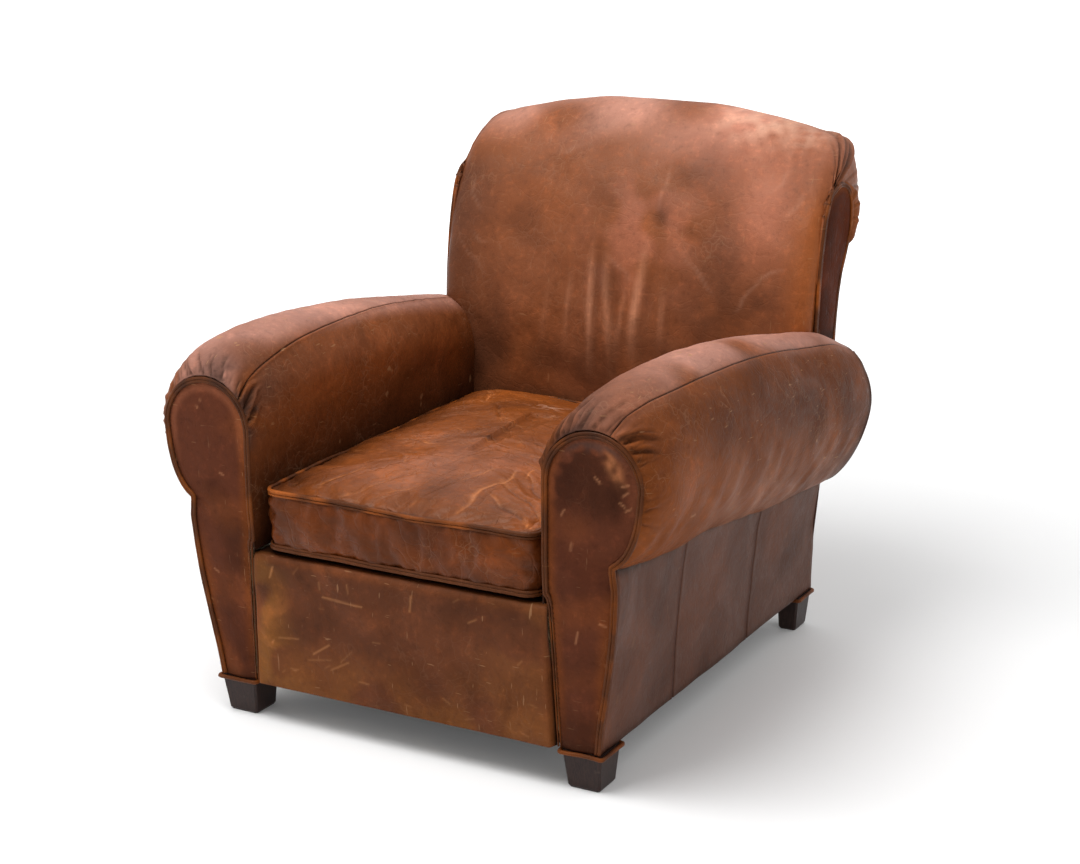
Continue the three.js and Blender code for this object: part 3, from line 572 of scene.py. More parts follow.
def lean(y, z):
    """The same lean on the leather behind the front, where it fades out."""
    return panel_lean(z) * np.clip(1 - (y - ARM_START_Y - LEAN_HOLD) / LEAN_FADE, 0, 1)


SEAM_ANGLE = {1: curve([(-487, 70), (-430, 62), (-300, 57), (0, 59), (200, 60), (347, 62)]),
              -1: curve([(-487, 141), (-430, 139), (-300, 132), (-150, 124), (0, 115), (200, 106),
                         (347, 102)])}


def arm_grid(side):
    """The arm's leather, and each point's distance from the top seam and from the inside wall's foot."""
    ys = np.concatenate([ARM_HEAD_Y + np.array([0, 0.7, 1.6, 2.8, 4.0]), np.arange(ARM_START_Y, -425, 2.0),
                         spaced(-423, ARM_END_Y, 6.5)])
    near_seam = [-5, -3.4, -2.2, -1.2, -0.5, 0, 0.5, 1.2, 2.2, 3.4, 5]
    grid, off, s = [], [], []
    for y in ys:
        line = arm_line(y, (3.0 if side > 0 else -2.0) * float(soft(y, ARM_START_Y, -400)))
        run = lengths(line)
        place = WALL_POINTS - 1 + (180 - float(SEAM_ANGLE[side](y))) * (ARC_POINTS - 1) / 90
        seam = float(np.interp(place, np.arange(len(run)), run))
        cuts = np.concatenate([np.linspace(0, seam - 7, 96), seam + np.array(near_seam),
                               np.linspace(seam + 7, run[-1], 92)])
        x, z = resample(line, cuts).T
        grid.append(np.stack([x, np.full(len(cuts), y), z], 1))
        off.append(cuts - seam)
        s.append(cuts)
    return np.array(grid), np.array(off), np.array(s)


def arm_gathers(side, s, depth):
    """Gathers that fan out from the front piping: their rise, and how creased each point is."""
    own = np.random.default_rng(5 + side)
    rise = np.zeros(s.shape)
    creased = np.zeros(s.shape)
    total = s[:, -1:]
    share = s / total
    strong = [(0.38, 0.05, 8), (0.54, 0.07, 8)]
    if side > 0:
        strong = [(0.43, 0.08, 12), (0.635, 0.03, 5)]
    for centre, reach, number in strong:
        for _ in range(number):
            place = centre + own.uniform(-1, 1) * reach
            slant = own.uniform(-0.3, 0.3) + 3.2 * (place - 0.5) * (0.5 if place < 0.5 else 1.0)
            width = own.uniform(2.6, 4.2)
            tall = own.uniform(2.6, 4.4)
            fade = soft(depth, -4, 5) * soft(depth, own.uniform(34, 62), own.uniform(4, 14))
            d = s - place * total - slant * depth
            rise += tall * fade * (bump(d, width) - 0.9 * bump(d - width * 1.5, width * 0.55))
            creased += fade * bump(d - width * 1.5, width * 0.5)
    arch = soft(share, 0.28, 0.38) * soft(share, 0.86, 0.74)
    rise += 2.6 * arch * bump(depth - 17, 11)
    for place in np.arange(0.3, 0.84, 0.0125):
        width = own.uniform(2.4, 4.2)
        d = s - (place + own.uniform(-0.005, 0.005)) * total - own.uniform(-0.35, 0.35) * depth
        fade = np.exp(-depth / own.uniform(8, 24)) * soft(depth, 0, 4) * own.uniform(0.3, 1.3)
        rise += 2.6 * fade * (bump(d, width) - 0.6 * bump(d - width * 1.5, width * 0.6))
        creased += 0.9 * fade * bump(d - width * 1.5, width * 0.5)
    # the leather rolls down into the seam behind the piping
    rise -= 1.0 * np.exp(-depth / 2.5)
    return rise, creased


def arm_paint(side, grid, y, z, s, off, creased):
    """The arm's colour and wear: pale along the top with a painted sheen highlight over rubbed wear, a
    painted floor reflection under the roll, and painted shade towards the seat, in the seams and in the
    gathers.
    """
    share = s / s[:, -1:]
    depth = y - ARM_HEAD_Y
    below_top = arm_at["top"](y) - z
    height = soft(below_top, 34, 5)
    if side > 0:
        height *= (0.25 + 0.75 * soft(off, 24, -8)) * (0.3 + 0.7 * soft(y, -430, -230))
    inner = soft(share, 0.46, 0.25)
    paint = Paint(WARM * 0.72, grid)
    paint.coat(DARK, 0.36, (170, 51 + side, 0.0, 1.2))
    paint.coat(ORANGE * 0.85, 0.28, (120, 52 + side, 0.1, 1.2))
    # painted sheen highlight along the top of the roll, laid over rubbed wear
    rub_and_sheen = (0.55 if side < 0 else 0.6) * height
    paint.coat(ARM_SHEEN_AND_RUB, rub_and_sheen, (150, 53 + side, -2.2, 0.0))
    paint.coat(WARM * 1.15, 0.75 * soft(z, 455, 510) * soft(z, 590, 560) * inner)
    # painted shade: the inside wall darker down towards the seat and back towards the chair's back
    paint.coat(DARK, 0.68 * soft(z, 490, 360) * inner)
    paint.coat(DARK, 0.5 * soft(y, 180, 345) * inner)
    paint.coat(INNER_BAND, 0.4 * soft(z, 500, 550) * soft(z, 600, 570) * inner)
    outer = soft(share, 0.62, 0.78)
    # painted shade along the roll's outer shoulder
    paint.coat(DARK, 0.3 * bump(share - 0.68, 0.09) * soft(y, -440, -340))
    # painted reflection of the floor, in streaks, on the outer side under the roll
    streaks = 0.65 + 0.35 * np.sin(y / 15 - s / 26 + 2.2 * lumps(grid, 130, 58))
    under_roll_reflection = outer * soft(share, 0.7, 0.86) * soft(y, -430, -190) * streaks
    paint.coat(UNDER_ROLL_REFLECTION, 0.5 * under_roll_reflection)
    paint.coat(ORANGE * 0.75, 0.4 * outer * soft(y, -120, -420))
    paint.coat(GREY * 1.15, 0.5 * outer * soft(y, 215, 330), (90, 55, -0.8, 0.6))
    by_piping = np.exp(-depth / 34) * soft(share, 0.2, 0.34) * soft(share, 0.62, 0.5)
    paint.coat(GREY * 0.9, 0.75 * by_piping, (60, 57 + side, -1.1, 0.3))
    paint.coat(GREY * 0.8, 0.5 * bump(depth - 62, 36) * bump(share - (0.43 if side > 0 else 0.36), 0.055))
    # painted shade in the gathers' creases and in the gap behind the piping
    paint.coat(DEEP, 0.66 * np.clip(creased, 0, 1))
    paint.coat(DEEP, 0.4 * np.exp(-depth / 2.2))
    # painted shade in the top seam's groove
    paint.coat(DEEP, 0.85 * bump(off, 1.1))
    paint.coat(WARM, 0.4 * bump(off - 3.0 * side, 1.6))
    # painted shade where the cover tucks in at the neck and the seat, and where it meets the back
    paint.coat(DEEP, 0.75 * soft(share, 0.985, 1.0) + 0.6 * soft(share, 0.05, 0.0))
    paint.coat(DEEP, 0.7 * soft(y, 328, 346) * soft(share, 0.2, 0.5))
    wear = 0.45 + 0.4 * height + 0.3 * soft(lumps(grid, 100, 61), 0, 1)
    return paint, wear


def arm_piece(side, side_name):
    """One arm's cover and padding, from the inside wall over the roll to the neck below it."""
    grid, off, s = arm_grid(side)
    y, z = grid[..., 1], grid[..., 2]
    n = normals(grid)
    n *= np.sign(np.sum(n * (grid - ARM_INSIDE)))
    depth = y - ARM_HEAD_Y
    share = s / s[:, -1:]
    rise, creased = arm_gathers(side, s, depth)
    # slack folds under the roll
    under = soft(share, 0.7, 0.82) * soft(share, 1.0, 0.93) * 1.5
    waves = np.sin(y / 11 + 0.045 * s + 1.3 * lumps(grid, 150, 8))
    rise += under * waves * soft(lumps(grid, 140, 9), -0.2, 0.9)
    rise += 1.3 * lumps(grid, 210, 21 + side) + 0.45 * lumps(grid, 60, 31 + side)
    rise += 0.22 * lumps(grid, 22, 41 + side) * soft(lumps(grid, 120, 43), -0.2, 0.8)
    # the lapped seam along the top
    rise += -1.5 * bump(off, 1.0) + 0.9 * bump(off - 3.2 * side, 2.2)
    hold = soft(share, 0.0, 0.03) * soft(share, 1.0, 0.985)
    rise = rise * (0.25 + 0.75 * soft(depth, 0, 5))
    grid = grid + n * (rise * hold)[..., None]
    paint, wear = arm_paint(side, grid, y, z, s, off, creased)
    grid[..., 1] += lean(grid[..., 1], grid[..., 2])
    piece = shell(f"arm_leather_{side_name}", grid, ARM_INSIDE, ARM_LEATHER, paint, wear,
                  [f"arm_cover_{side_name}", f"arm_pad_{side_name}"], side=side)


def front_outline():
    """Outer edge of the piping round the right arm front, from its inner foot round to its outer foot."""
    half = (float(arm_at["outer"](FACE_Y)) - float(arm_at["inner"](FACE_Y))) / 2
    middle = (float(arm_at["outer"](FACE_Y)) + float(arm_at["inner"](FACE_Y))) / 2
    turn = np.radians(np.linspace(180, 0, 90))
    arc = np.stack([middle + half * np.cos(turn), 467 + half * np.sin(turn)], 1)
    t = np.linspace(0, 1, 40)[1:, None]
    a, b, c, d = [np.array(p, float) for p in ((407, 467), (407, 425), (396, 372), (364, 353))]
    bend = (1 - t)**3 * a + 3 * (1 - t)**2 * t * b + 3 * (1 - t) * t**2 * c + t**3 * d
    foot = spline([(364, 353), (366, 334), (367, 312), (361, 238), (350, 165), (340, 110), (334, 63)], 60)[1:]
    inner = spline([(262, 63), (255, 272), (249, 300), (249, 354), (249, 467)], 80)[:-1]
    return resample(np.concatenate([inner, arc, bend, foot]), 420)


def inset(line, distance):
    """An open flat line moved to its right."""
    d = np.gradient(line, axis=0)
    d /= np.linalg.norm(d, axis=1, keepdims=True)
    return line + np.stack([d[:, 1], -d[:, 0]], 1) * distance


def arm_front_paint(side, at3, reach):
    """The front panel's colour and how rubbed its edge is: stains, one tan scar on the right, small ticks."""
    x, z = at3[..., 0], at3[..., 2]
    paint = Paint(FACING * 1.25, at3)
    paint.coat(DARK, 0.5, (130, 73 + side, -0.1, 1.2))
    paint.coat(WARM, 0.35, (160, 75 + side, 0.2, 1.3))
    band = soft(reach, 20, 4 if side > 0 else 7)
    upper = soft(z, 400, 470)
    paint.coat(PANEL_RIM, (0.4 if side > 0 else 0.75) * band * upper)
    inner_side = soft(x, 300, 258)
    paint.coat(ORANGE * 0.8, 0.38 * soft(reach, 22, 5) * inner_side * soft(z, 60, 140))
    paint.coat(ORANGE * 0.8, 0.36 * soft(reach, 30, 4) * soft(x, 315, 345) * soft(z, 330, 230))
    if side > 0:
        ragged = soft(reach + 7 * lumps(at3, 26, 77), 14, 22) * soft(z, 380, 450)
        paint.coat(DARK * 0.9, 0.7 * ragged * bump(z - 490, 75))
        tan = bump(np.hypot((x - 362) / 1.0 - (z - 500) * -0.45, (z - 500) / 1.9), 10)
        paint.coat(SCAR, 0.6 * tan, (22, 78, -1.6, 0.4))
        stain = soft(reach + 5 * lumps(at3, 20, 79), 22, 10) * bump(z - 525, 14) * soft(reach, 3, 9)
        paint.coat(GREY * 0.8, 0.7 * stain)
        ticks = [((298, 383), (296, 372)), ((334, 483), (342, 476)), ((384, 478), (374, 475)),
                 ((384, 468), (376, 462)), ((304, 250), (300, 232)), ((388, 445), (380, 441)),
                 ((345, 206), (352, 203)), ((331, 130), (342, 127)), ((338, 268), (348, 266)),
                 ((372, 452), (379, 447)), ((286, 430), (281, 421))]
    else:
        ticks = [((337, 511), (337, 508)), ((344, 500), (342, 497)), ((305, 400), (300, 397)),
                 ((330, 240), (322, 236)), ((346, 190), (340, 186))]
    for a, b in ticks:
        away, _ = to_segment(at3[..., ::2], a, b)
        paint.coat(TICK, 0.34 * bump(away, 1.5))
    # painted shade where the panel meets the piping
    paint.coat(DEEP, 0.75 * soft(reach, 3.5, 0.5))
    paint.coat(DARK, 0.5 * soft(z, 84, 64))
    return paint, 0.25 + 0.5 * band


def arm_front(side, side_name):
    """The keyhole panel on the arm's front, and the two cords round it."""
    outline = front_outline()
    edge = inset(outline, 8.2)
    edge[:, 1] = np.maximum(edge[:, 1], BASE_Z + 1)
    u = (1 - np.cos(np.linspace(0, np.pi, 54))) / 2 * 0.5 + np.linspace(0, 1, 54) * 0.5
    x, z = between(edge, BASE_Z + 1.2, 440, 150, 52, 0.15, u)
    reach = nearest(x, z, edge)
    at3 = np.stack([x, np.zeros_like(x), z], -1)
    swell = 3.2 * (1 - np.exp(-reach / 9)) + 2.0 * soft(reach, 0, 60)
    y = FACE_Y + 2.0 - swell - 0.5 * lumps(at3, 90, 71 + side) * soft(reach, 0, 20)
    # creases where the roll meets the leg of the panel
    for a, b, deep in (((352, 352), (328, 344), 1.8), ((350, 345), (332, 330), 1.2),
                       ((352, 362), (334, 366), 1.0)):
        away, along = to_segment(at3[..., ::2], a, b)
        y = y + deep * bump(away, 3.0) * (1 - along) ** 0.6
    y = y + 0.24 * bump(z - 300, 60) * np.sin(z / 14) * soft(reach, 0, 12) + panel_lean(z)
    paint, wear = arm_front_paint(side, at3, reach)
    shell(f"arm_front_leather_{side_name}", np.stack([x, y, z], -1), (320, 200, 330), DARK_LEATHER, paint,
          wear, [f"arm_front_panel_{side_name}"], PANEL_LEATHER, side)
    # twin piping round the panel
    cords = []
    for distance, radius, forward in ((2.9, 3.1, 0.4), (7.4, 2.5, -0.6)):
        line = inset(outline, distance)
        line = line[line[:, 1] > BASE_Z + 0.5]
        tucked = soft(line[:, 1], 300, 276) * (line[:, 0] < 300)
        path = np.stack([line[:, 0], FACE_Y + forward + 1.6 * tucked + panel_lean(line[:, 1]), line[:, 1]], 1)
        thick = radius * (1 + 0.06 * lumps(path, 40, 81 + side)) * (1 - 0.5 * tucked)
        cords.append(tube(path * [side, 1, 1], thick, 10, up=(0, 1, 0)))
    piping(f"arm_piping_worn_{side_name}", f"arm_piping_{side_name}", cords, CORD_BROWN, ORANGE * 0.5, 470)


def side_panel(side, side_name):
    """The outside arm: three widths of plain leather, puckered where they meet the roll."""
    front = curve([(0, 333), (0.163, 339), (0.354, 349), (0.608, 360), (0.865, 366), (1, 364)])
    rear = curve([(0, 333), (0.35, 334), (0.7, 337), (1, 344)])
    flare = curve([(ARM_START_Y, 1), (-380, 0.35), (-200, 0)])
    ys = spaced(ARM_START_Y + 1, ARM_END_Y, 8, (-210, 78))
    share = np.concatenate([np.linspace(0, 0.92, 52), np.linspace(0.935, 1.02, 14)])
    y = np.broadcast_to(ys[:, None], (len(ys), len(share))).copy()
    v = np.broadcast_to(share, y.shape)
    low = arm_at["low"](ys)[:, None]
    z = BASE_Z + 1 + (low + 3 - BASE_Z) * v
    f = flare(ys)[:, None]
    x = rear(np.clip(v, 0, 1)) * (1 - f) + front(np.clip(v, 0, 1)) * f
    seam_shift = -14 + 26 * v
    off1, off2 = y + 210, y - 78
    y = y + seam_shift * bump(off1, 90) + (seam_shift - 2) * bump(off2, 90)
    at3 = np.stack([x, y, z], -1)
    rise = 1.6 * lumps(at3, 260, 91 + side) + 0.5 * lumps(at3, 80, 92 + side)
    for off in (off1, off2):
        rise += -2.0 * bump(off, 1.5) + 0.8 * bump(off + 4, 3.0) + 0.5 * bump(off - 5, 3.5)
    pucker = soft(v, 0.9, 1.0)
    rise += pucker * 1.3 * np.sin(y / 9 + 2 * lumps(at3, 120, 93)) - 5 * soft(v, 0.985, 1.02)
    rise += 0.8 * bump(y + 340, 80) * np.sin((z - 0.6 * y) / 22) * soft(v, 0.4, 0.9)
    rise *= soft(y, ARM_START_Y, ARM_START_Y + 15)
    x = x + rise
    grid = np.stack([x, y, z], -1)
    grid[..., 1] += lean(grid[..., 1], grid[..., 2])
    paint = Paint(SIDE, at3)
    paint.coat(BROWN, 0.22, (190, 94 + side, 0.0, 1.1))
    paint.coat(DARK, 0.3, (120, 95 + side, 0.2, 1.3))
    paint.coat(WARM * 0.8, 0.35 * soft(y, -430, -478) * soft(v, 0.9, 0.1))
    # each seam gets a dark band beside it and, in its groove, a near-black line of painted shade
    for off in (off1, off2):
        paint.coat(SIDE_SEAM, 0.75 * bump(off + 3, 3.4))
        paint.coat(DEEP, 0.75 * bump(off, 1.3))
    # painted shade where the panel runs in under the roll
    paint.coat(DEEP, 0.8 * soft(v, 0.93, 1.0))
    paint.coat(DARK, 0.5 * soft(v, 0.07, 0.0))
    shell(f"outside_arm_leather_{side_name}", grid, (200, 0, 180), SIDE_LEATHER, paint, SIDE_WEAR,
          [f"outside_arm_panel_{side_name}"], side=side)


for side_name, side in (("left", -1), ("right", 1)):
    arm_piece(side, side_name)
    arm_front(side, side_name)
    side_panel(side, side_name)


# ---- back ----
PROFILE_COUNT = 205
back_middle = spline(BACK_MIDDLE, PROFILE_COUNT)
back_edge = spline(BACK_EDGE, PROFILE_COUNT)
SCROLL_AXIS = np.array([386, 716])


def back_grid():
    """The back's leather: its face, crest and scroll, with the gathered ends beside the gusset's head."""
    main = np.concatenate([np.linspace(-352, -318, 14), np.linspace(-312, 312, 110),
                           np.linspace(318, 352, 14)])
    inward = np.clip((BACK_HALF - np.abs(main)) / BACK_DOME, 0, 1)
    full = (1 - (1 - inward) ** 2.7) ** (1 / 2.7)
    fall = CREST_FALL * np.abs(main / BACK_HALF) ** 2.2
    share = np.clip((back_middle[:, 1] - 640) / (CREST_Z - 640), 0, 1)
    yz = (back_edge[:, None] * (1 - full)[None, :, None]
          + np.stack([np.broadcast_to(back_middle[:, 0:1], (PROFILE_COUNT, len(main))),
                      back_middle[:, 1:2] - fall * share[:, None]], -1) * full[None, :, None])
    # the gathered end of the scroll, behind and over the head of the gusset
    along = np.linspace(0, 1, PROFILE_COUNT)
    behind = soft(along, 0.75, 0.84) * soft(along, 1.0, 0.97)
    caps = []
    steps = ((0.02, 6), (0.07, 11), (0.14, 13), (0.24, 13), (0.36, 10), (0.5, 3), (0.66, -4))
    for k, (step, swell) in enumerate(steps):
        line = back_edge + (SCROLL_AXIS - back_edge) * (step * (0.06 + 0.94 * behind))[:, None]
        out = BACK_HALF + behind * swell - (1 - behind) * 1.5 * (k > 0)
        caps.append(np.concatenate([np.broadcast_to(out[:, None], (PROFILE_COUNT, 1)), line], 1))
    right = np.stack(caps, 1)
    left = right[:, ::-1] * [-1, 1, 1]
    body = np.concatenate([np.broadcast_to(main[None, :, None], (PROFILE_COUNT, len(main), 1)), yz], -1)
    return np.concatenate([left, body, right], 1)


def back_folds(grid, a, face):
    """Folds and pleats: their rise, how creased each point is, and how much painted highlight its ridge
    takes.
    """
    x, z = grid[..., 0], grid[..., 2]
    rise = (2.2 * lumps(grid, 300, 101) + 0.8 * lumps(grid, 95, 102)) * soft(np.abs(x), 354, 300)
    rise += 0.15 * lumps(grid, 30, 103)
    # upright folds where the leather is slack above the seat
    creased = np.zeros(x.shape)
    ridge_highlight = np.zeros(x.shape)
    folds = [(-101, 560, 62, 2.2, 7, 0.3), (-59, 560, 95, 4.2, 8, 0.75), (-24, 560, 88, 3.0, 10, 0.5),
             (33, 572, 88, 4.6, 12, 0.85), (77, 550, 48, 2.4, 8, 0.35), (8, 540, 60, 1.8, 6, 0.3),
             (-140, 540, 60, 1.0, 9, 0.15)]
    for fx, fz, tall, high, width, light in folds:
        sway = fx + 9 * np.sin((z - fz) / 62 + fx * 0.02) * np.sign(fx + 10) + 0.0009 * (z - fz) ** 2
        fade = bump(z - fz + 8, tall * 0.8) * face
        rise += high * fade * bump(x - sway, width)
        rise -= high * 0.8 * fade * bump(x - sway - width * 1.6, width * 0.7)
        creased += 0.2 * light * fade * bump(x - sway - width * 1.5, width * 0.8)
        ridge_highlight += light * fade * bump(x - sway, width * 0.7)
    # pleats that gather the end of the scroll onto the gusset's head
    own = np.random.default_rng(17)
    s = a * lengths(back_edge)[-1]
    at = np.stack([np.abs(x), s], -1)
    for p, q, width, high in (((358, 468), (292, 494), 6.5, 5.5), ((358, 514), (286, 498), 7, 6.5),
                              ((358, 492), (318, 500), 5, 3.0), ((358, 445), (322, 462), 5, 2.0)):
        away, t = to_segment(at, p, q)
        d = away * side_of(at, p, q)
        fade = (1 - t) ** 0.6
        rise += high * fade * (0.9 * bump(d - width, width) - 1.1 * bump(d, width * 0.6))
        creased += 0.9 * fade * bump(d, width * 0.45)
    tuck = soft(a, 0.74, 0.82) * soft(np.abs(x), 318, 350)
    for place in (552, 586, 618, 652):
        d = s - place - own.uniform(-4, 4) - 5 * (1 - tuck)
        tall = own.uniform(1.0, 1.9)
        rise += tuck * tall * (bump(d - 6, 5) - 1.1 * bump(d, 3.2))
        creased += 0.8 * tuck * bump(d, 2.6)
    rise -= 1.2 * bump(np.hypot(np.abs(x) - 330, (z - 520) * 0.6), 50)
    return rise, creased, ridge_highlight


def back_paint(grid, x, z, a, face, creased, ridge_highlight):
    """The back's colour and wear: a painted sheen highlight over rubbed wear at the crest, painted highlights
    on the face and on the fold ridges, painted shade low down and in the creases, with stains and long
    scratches.
    """
    paint = Paint(BROWN * 1.12, grid)
    paint.coat(WARM, 0.6, (210, 111, -0.5, 1.0))
    paint.coat(DARK, 0.32, (150, 112, 0.2, 1.4))
    # painted sheen highlight over rubbed wear along the crest, then painted highlights on the crest's right
    # side
    paint.coat(CREST_SHEEN_AND_RUB, 0.62 * soft(z, 790, 880), (190, 113, -1.2, 0.9))
    paint.coat(PINK, 0.55 * bump(np.hypot((x - 215) / 1.5, z - 850), 75))
    paint.coat(PALE, 0.55 * bump(np.hypot((x - 205) / 2.4, z - 868), 28), (36, 114, -1.6, 1.2))
    paint.coat(PALE, 0.3 * bump(np.hypot((x - 275) / 2.0, z - 850), 24), (24, 115, -1.5, 1.2))
    # painted highlights on the upper right and the middle of the inside back
    paint.coat(PINK, 0.45 * bump(np.hypot(x - 255, (z - 735) / 1.4), 60) * face)
    paint.coat(PINK, 0.4 * bump(np.hypot(x - 40, (z - 690) / 1.1), 90) * face, (80, 116, -0.8, 0.8))
    for sx, sz, wx, wz, amount in ((69, 712, 15, 26, 0.55), (105, 784, 30, 22, 0.4), (-60, 745, 60, 45, 0.25),
                                   (265, 590, 34, 34, 0.4), (180, 640, 45, 60, 0.2), (-200, 770, 60, 20, 0.2),
                                   (200, 560, 80, 34, 0.35)):
        stain = face * bump(np.hypot((x - sx) / wx, (z - sz) / wz), 1)
        paint.coat(DARK, amount * stain, (45, 117, -1.8, 0.2))
    paint.coat(ORANGE, 0.5 * soft(x, 285, 345) * soft(z, 500, 560) * soft(z, 790, 720) * face)
    # painted shade: darker low down towards the seat
    paint.coat(DARK, 0.5 * soft(z, 560, 440) * face, (100, 118, -2.0, 0.5))
    paint.coat(DARK, 0.62 * soft(x, -190, -352) * face)
    # painted highlight on the fold ridges, then painted shade in the creases and on the folds' dark sides
    paint.coat(FOLD_HIGHLIGHT, 0.62 * np.clip(ridge_highlight, 0, 1))
    paint.coat(DEEP, 0.8 * np.clip(creased, 0, 1))
    scratches = [((-322, 745), (-283, 690), 0.6), ((-326, 640), (-262, 590), 0.6),
                 ((-300, 655), (-262, 640), 0.5), ((245, 838), (340, 815), 1.6),
                 ((300, 640), (262, 622), 1.2), ((262, 622), (225, 566), 1.0), ((120, 655), (180, 590), 0.9),
                 ((60, 720), (70, 800), 0.8), ((-30, 640), (30, 600), 0.8), ((-100, 820), (-160, 800), 0.9),
                 ((285, 800), (262, 765), 1.0), ((318, 770), (290, 720), 0.9), ((180, 840), (240, 800), 0.9)]
    wavy = np.stack([x + 3 * lumps(grid, 40, 119), z + 3 * lumps(grid, 40, 120)], -1)
    for p, q, strong in scratches:
        away, along = to_segment(wavy, p, q)
        taper = np.sin(np.pi * np.clip(along, 0.04, 0.96)) ** 0.5
        paint.coat(PALE, 0.09 * strong * bump(away, 3.0) * face * taper)
    paint.coat(WARM * 0.75, 0.5 * soft(a, 0.7, 0.8) * soft(np.abs(x), 355, 330))
    paint.coat(ORANGE * 0.85, 0.5 * soft(np.abs(x), 354, 362))
    wear = 0.3 + 0.6 * soft(z, 780, 870) + 0.3 * bump(np.hypot(x - 260, z - 740), 120)
    return paint, wear


def back_cover():
    """One cover over the inside back, the crest and the scroll behind it."""
    grid = back_grid()
    n = normals(grid)
    n *= np.sign(np.sum(n[:, 7:-7] * (grid[:, 7:-7] - BACK_INSIDE)))
    x, z = grid[..., 0], grid[..., 2]
    a = np.broadcast_to(np.linspace(0, 1, PROFILE_COUNT)[:, None], x.shape)
    face = soft(a, 0.62, 0.5)
    rise, creased, ridge_highlight = back_folds(grid, a, face)
    hold = soft(a, 0, 0.02) * soft(a, 1, 0.985)
    hold[:, [0, -1]] *= 0.2
    grid = grid + n * (rise * hold)[..., None]
    paint, wear = back_paint(grid, x, z, a, face, creased, ridge_highlight)
    piece = shell("inside_back_leather", grid, BACK_INSIDE, BACK_LEATHER, paint, wear,
                  ["inside_back_cover", "back_pad"])


def gusset_outline(count):
    """The gusset in (y, z): up its front line, round its head and down the rear line."""
    front = [(p[0] + 6, p[1]) for p in BACK_EDGE if 380 < p[1] and p[0] < 330]
    head = [(338, 765), (360, 771), (382, 765), (397, 748), (402, 725), (400, 695), (394, 665)]
    rear = [(388, 651), (371, 622), (358, 580), (350, 530), (347, 470), (347, 430)]
    return spline(front + head + rear, count)


def gusset(side, side_name):
    """The narrow panel at the side of the back, and the two cords round it."""
    line = gusset_outline(300)
    y, z = between(line, 470, 700, 70, 36, 0.2, np.linspace(0, 1, 30))
    reach = nearest(y, z, line)
    at3 = np.stack([np.zeros_like(y), y, z], -1)
    behind = soft(y, 365, 400) * soft(z, 660, 700)
    x = BACK_HALF + 2.2 + 3.6 * (1 - np.exp(-reach / 8)) + 0.5 * lumps(at3, 90, 131) + 3 * behind
    grid = np.stack([x, y, z], -1)
    paint = Paint(GUSSET, at3)
    paint.coat(DARK, 0.5, (120, 132 + side, -0.2, 1.0))
    paint.coat(WARM, 0.4 * soft(z, 720, 775) * soft(reach, 14, 3))
    # painted shade along the piping and low down beside the arm roll
    paint.coat(DEEP, 0.7 * soft(reach, 4, 0.5) + 0.6 * soft(z, 545, 520))
    shell(f"back_gusset_leather_{side_name}", grid, (200, 330, 600), GUSSET_LEATHER, paint, PLAIN_WEAR,
          [f"back_gusset_{side_name}"], PANEL_LEATHER, side)
    cords = []
    for shift, radius, out in ((-4.4, 3.0, 2.0), (-0.2, 2.4, 2.6)):
        moved = inset(line[line[:, 1] > 500], shift)
        head = soft(moved[:, 0], 372, 400) * soft(moved[:, 1], 655, 700)
        path = np.stack([BACK_HALF + out + 4.5 * head, moved[:, 0], moved[:, 1]], 1)
        thick = radius * (1 + 0.05 * lumps(path, 40, 135))
        cords.append(tube(path * [side, 1, 1], thick, 10, up=(1, 0, 0)))
    piping(f"back_piping_worn_{side_name}", f"back_piping_{side_name}", cords, CORD_BROWN, ORANGE * 0.7)


def outside_back():
    """The plain cover behind the chair, cut to the outline of the arms' rear ends."""
    foot_z, scroll_z = OUTSIDE_BACK[0][1], OUTSIDE_BACK[-1][1]
    arm = arm_line(ARM_END_Y)
    low = int(np.argmin(arm[:, 1]))
    high = int(np.argmax(arm[:, 1]))
    roll = arm[high:low + 1][::-1]
    keep = np.concatenate([[True], np.diff(np.maximum.accumulate(roll[:, 1])) > 0.01])
    roll = roll[keep]
    table = [(foot_z, 333), (160, 335), (roll[0, 1] - 2, 344)] + [(z, x) for x, z in roll[::3]]
    table += [(arm[high, 1] + 1, BACK_HALF - 2), (700, BACK_HALF - 2)]
    half_z, half_x = np.array(table).T
    zs = np.concatenate([np.linspace(foot_z, half_z[2] - 0.5, 34),
                         np.linspace(half_z[2], arm[high, 1] + 1, 46),
                         np.linspace(arm[high, 1] + 4, scroll_z, 26)])
    half = np.interp(zs, half_z, half_x)
    plane = curve([(z, y) for y, z in OUTSIDE_BACK])(zs)
    u = np.linspace(-1, 1, 90)
    x = half[:, None] * u
    z = np.broadcast_to(zs[:, None], x.shape)
    at3 = np.stack([x, np.zeros_like(x), z], -1)
    edge = np.minimum(half[:, None] - np.abs(x), z - foot_z)
    y = plane[:, None] + (1.2 + 1.6 * lumps(at3, 260, 141)) * soft(edge, 0, 60) - 2.2 * soft(edge, 5, 0)
    y = y + 0.9 * soft(z, 600, scroll_z) * np.sin(x / 13 + 2 * lumps(at3, 140, 142))
    grid = np.stack([x, y, z], -1)
    paint = Paint(SIDE, at3)
    paint.coat(BROWN, 0.25, (220, 143, -0.2, 1.1))
    paint.coat(DARK, 0.35, (140, 144, 0.1, 1.2))
    paint.coat(DARK, 0.5 * soft(edge, 14, 0))
    # painted shade under the overhang of the scroll
    paint.coat(DEEP, 0.6 * soft(z, 630, scroll_z))
    shell("outside_back_leather", grid, (0, 0, 300), SIDE_LEATHER, paint, SIDE_WEAR,
          ["outside_back_cover"])


back_cover()
for side_name, side in (("left", -1), ("right", 1)):
    gusset(side, side_name)
outside_back()


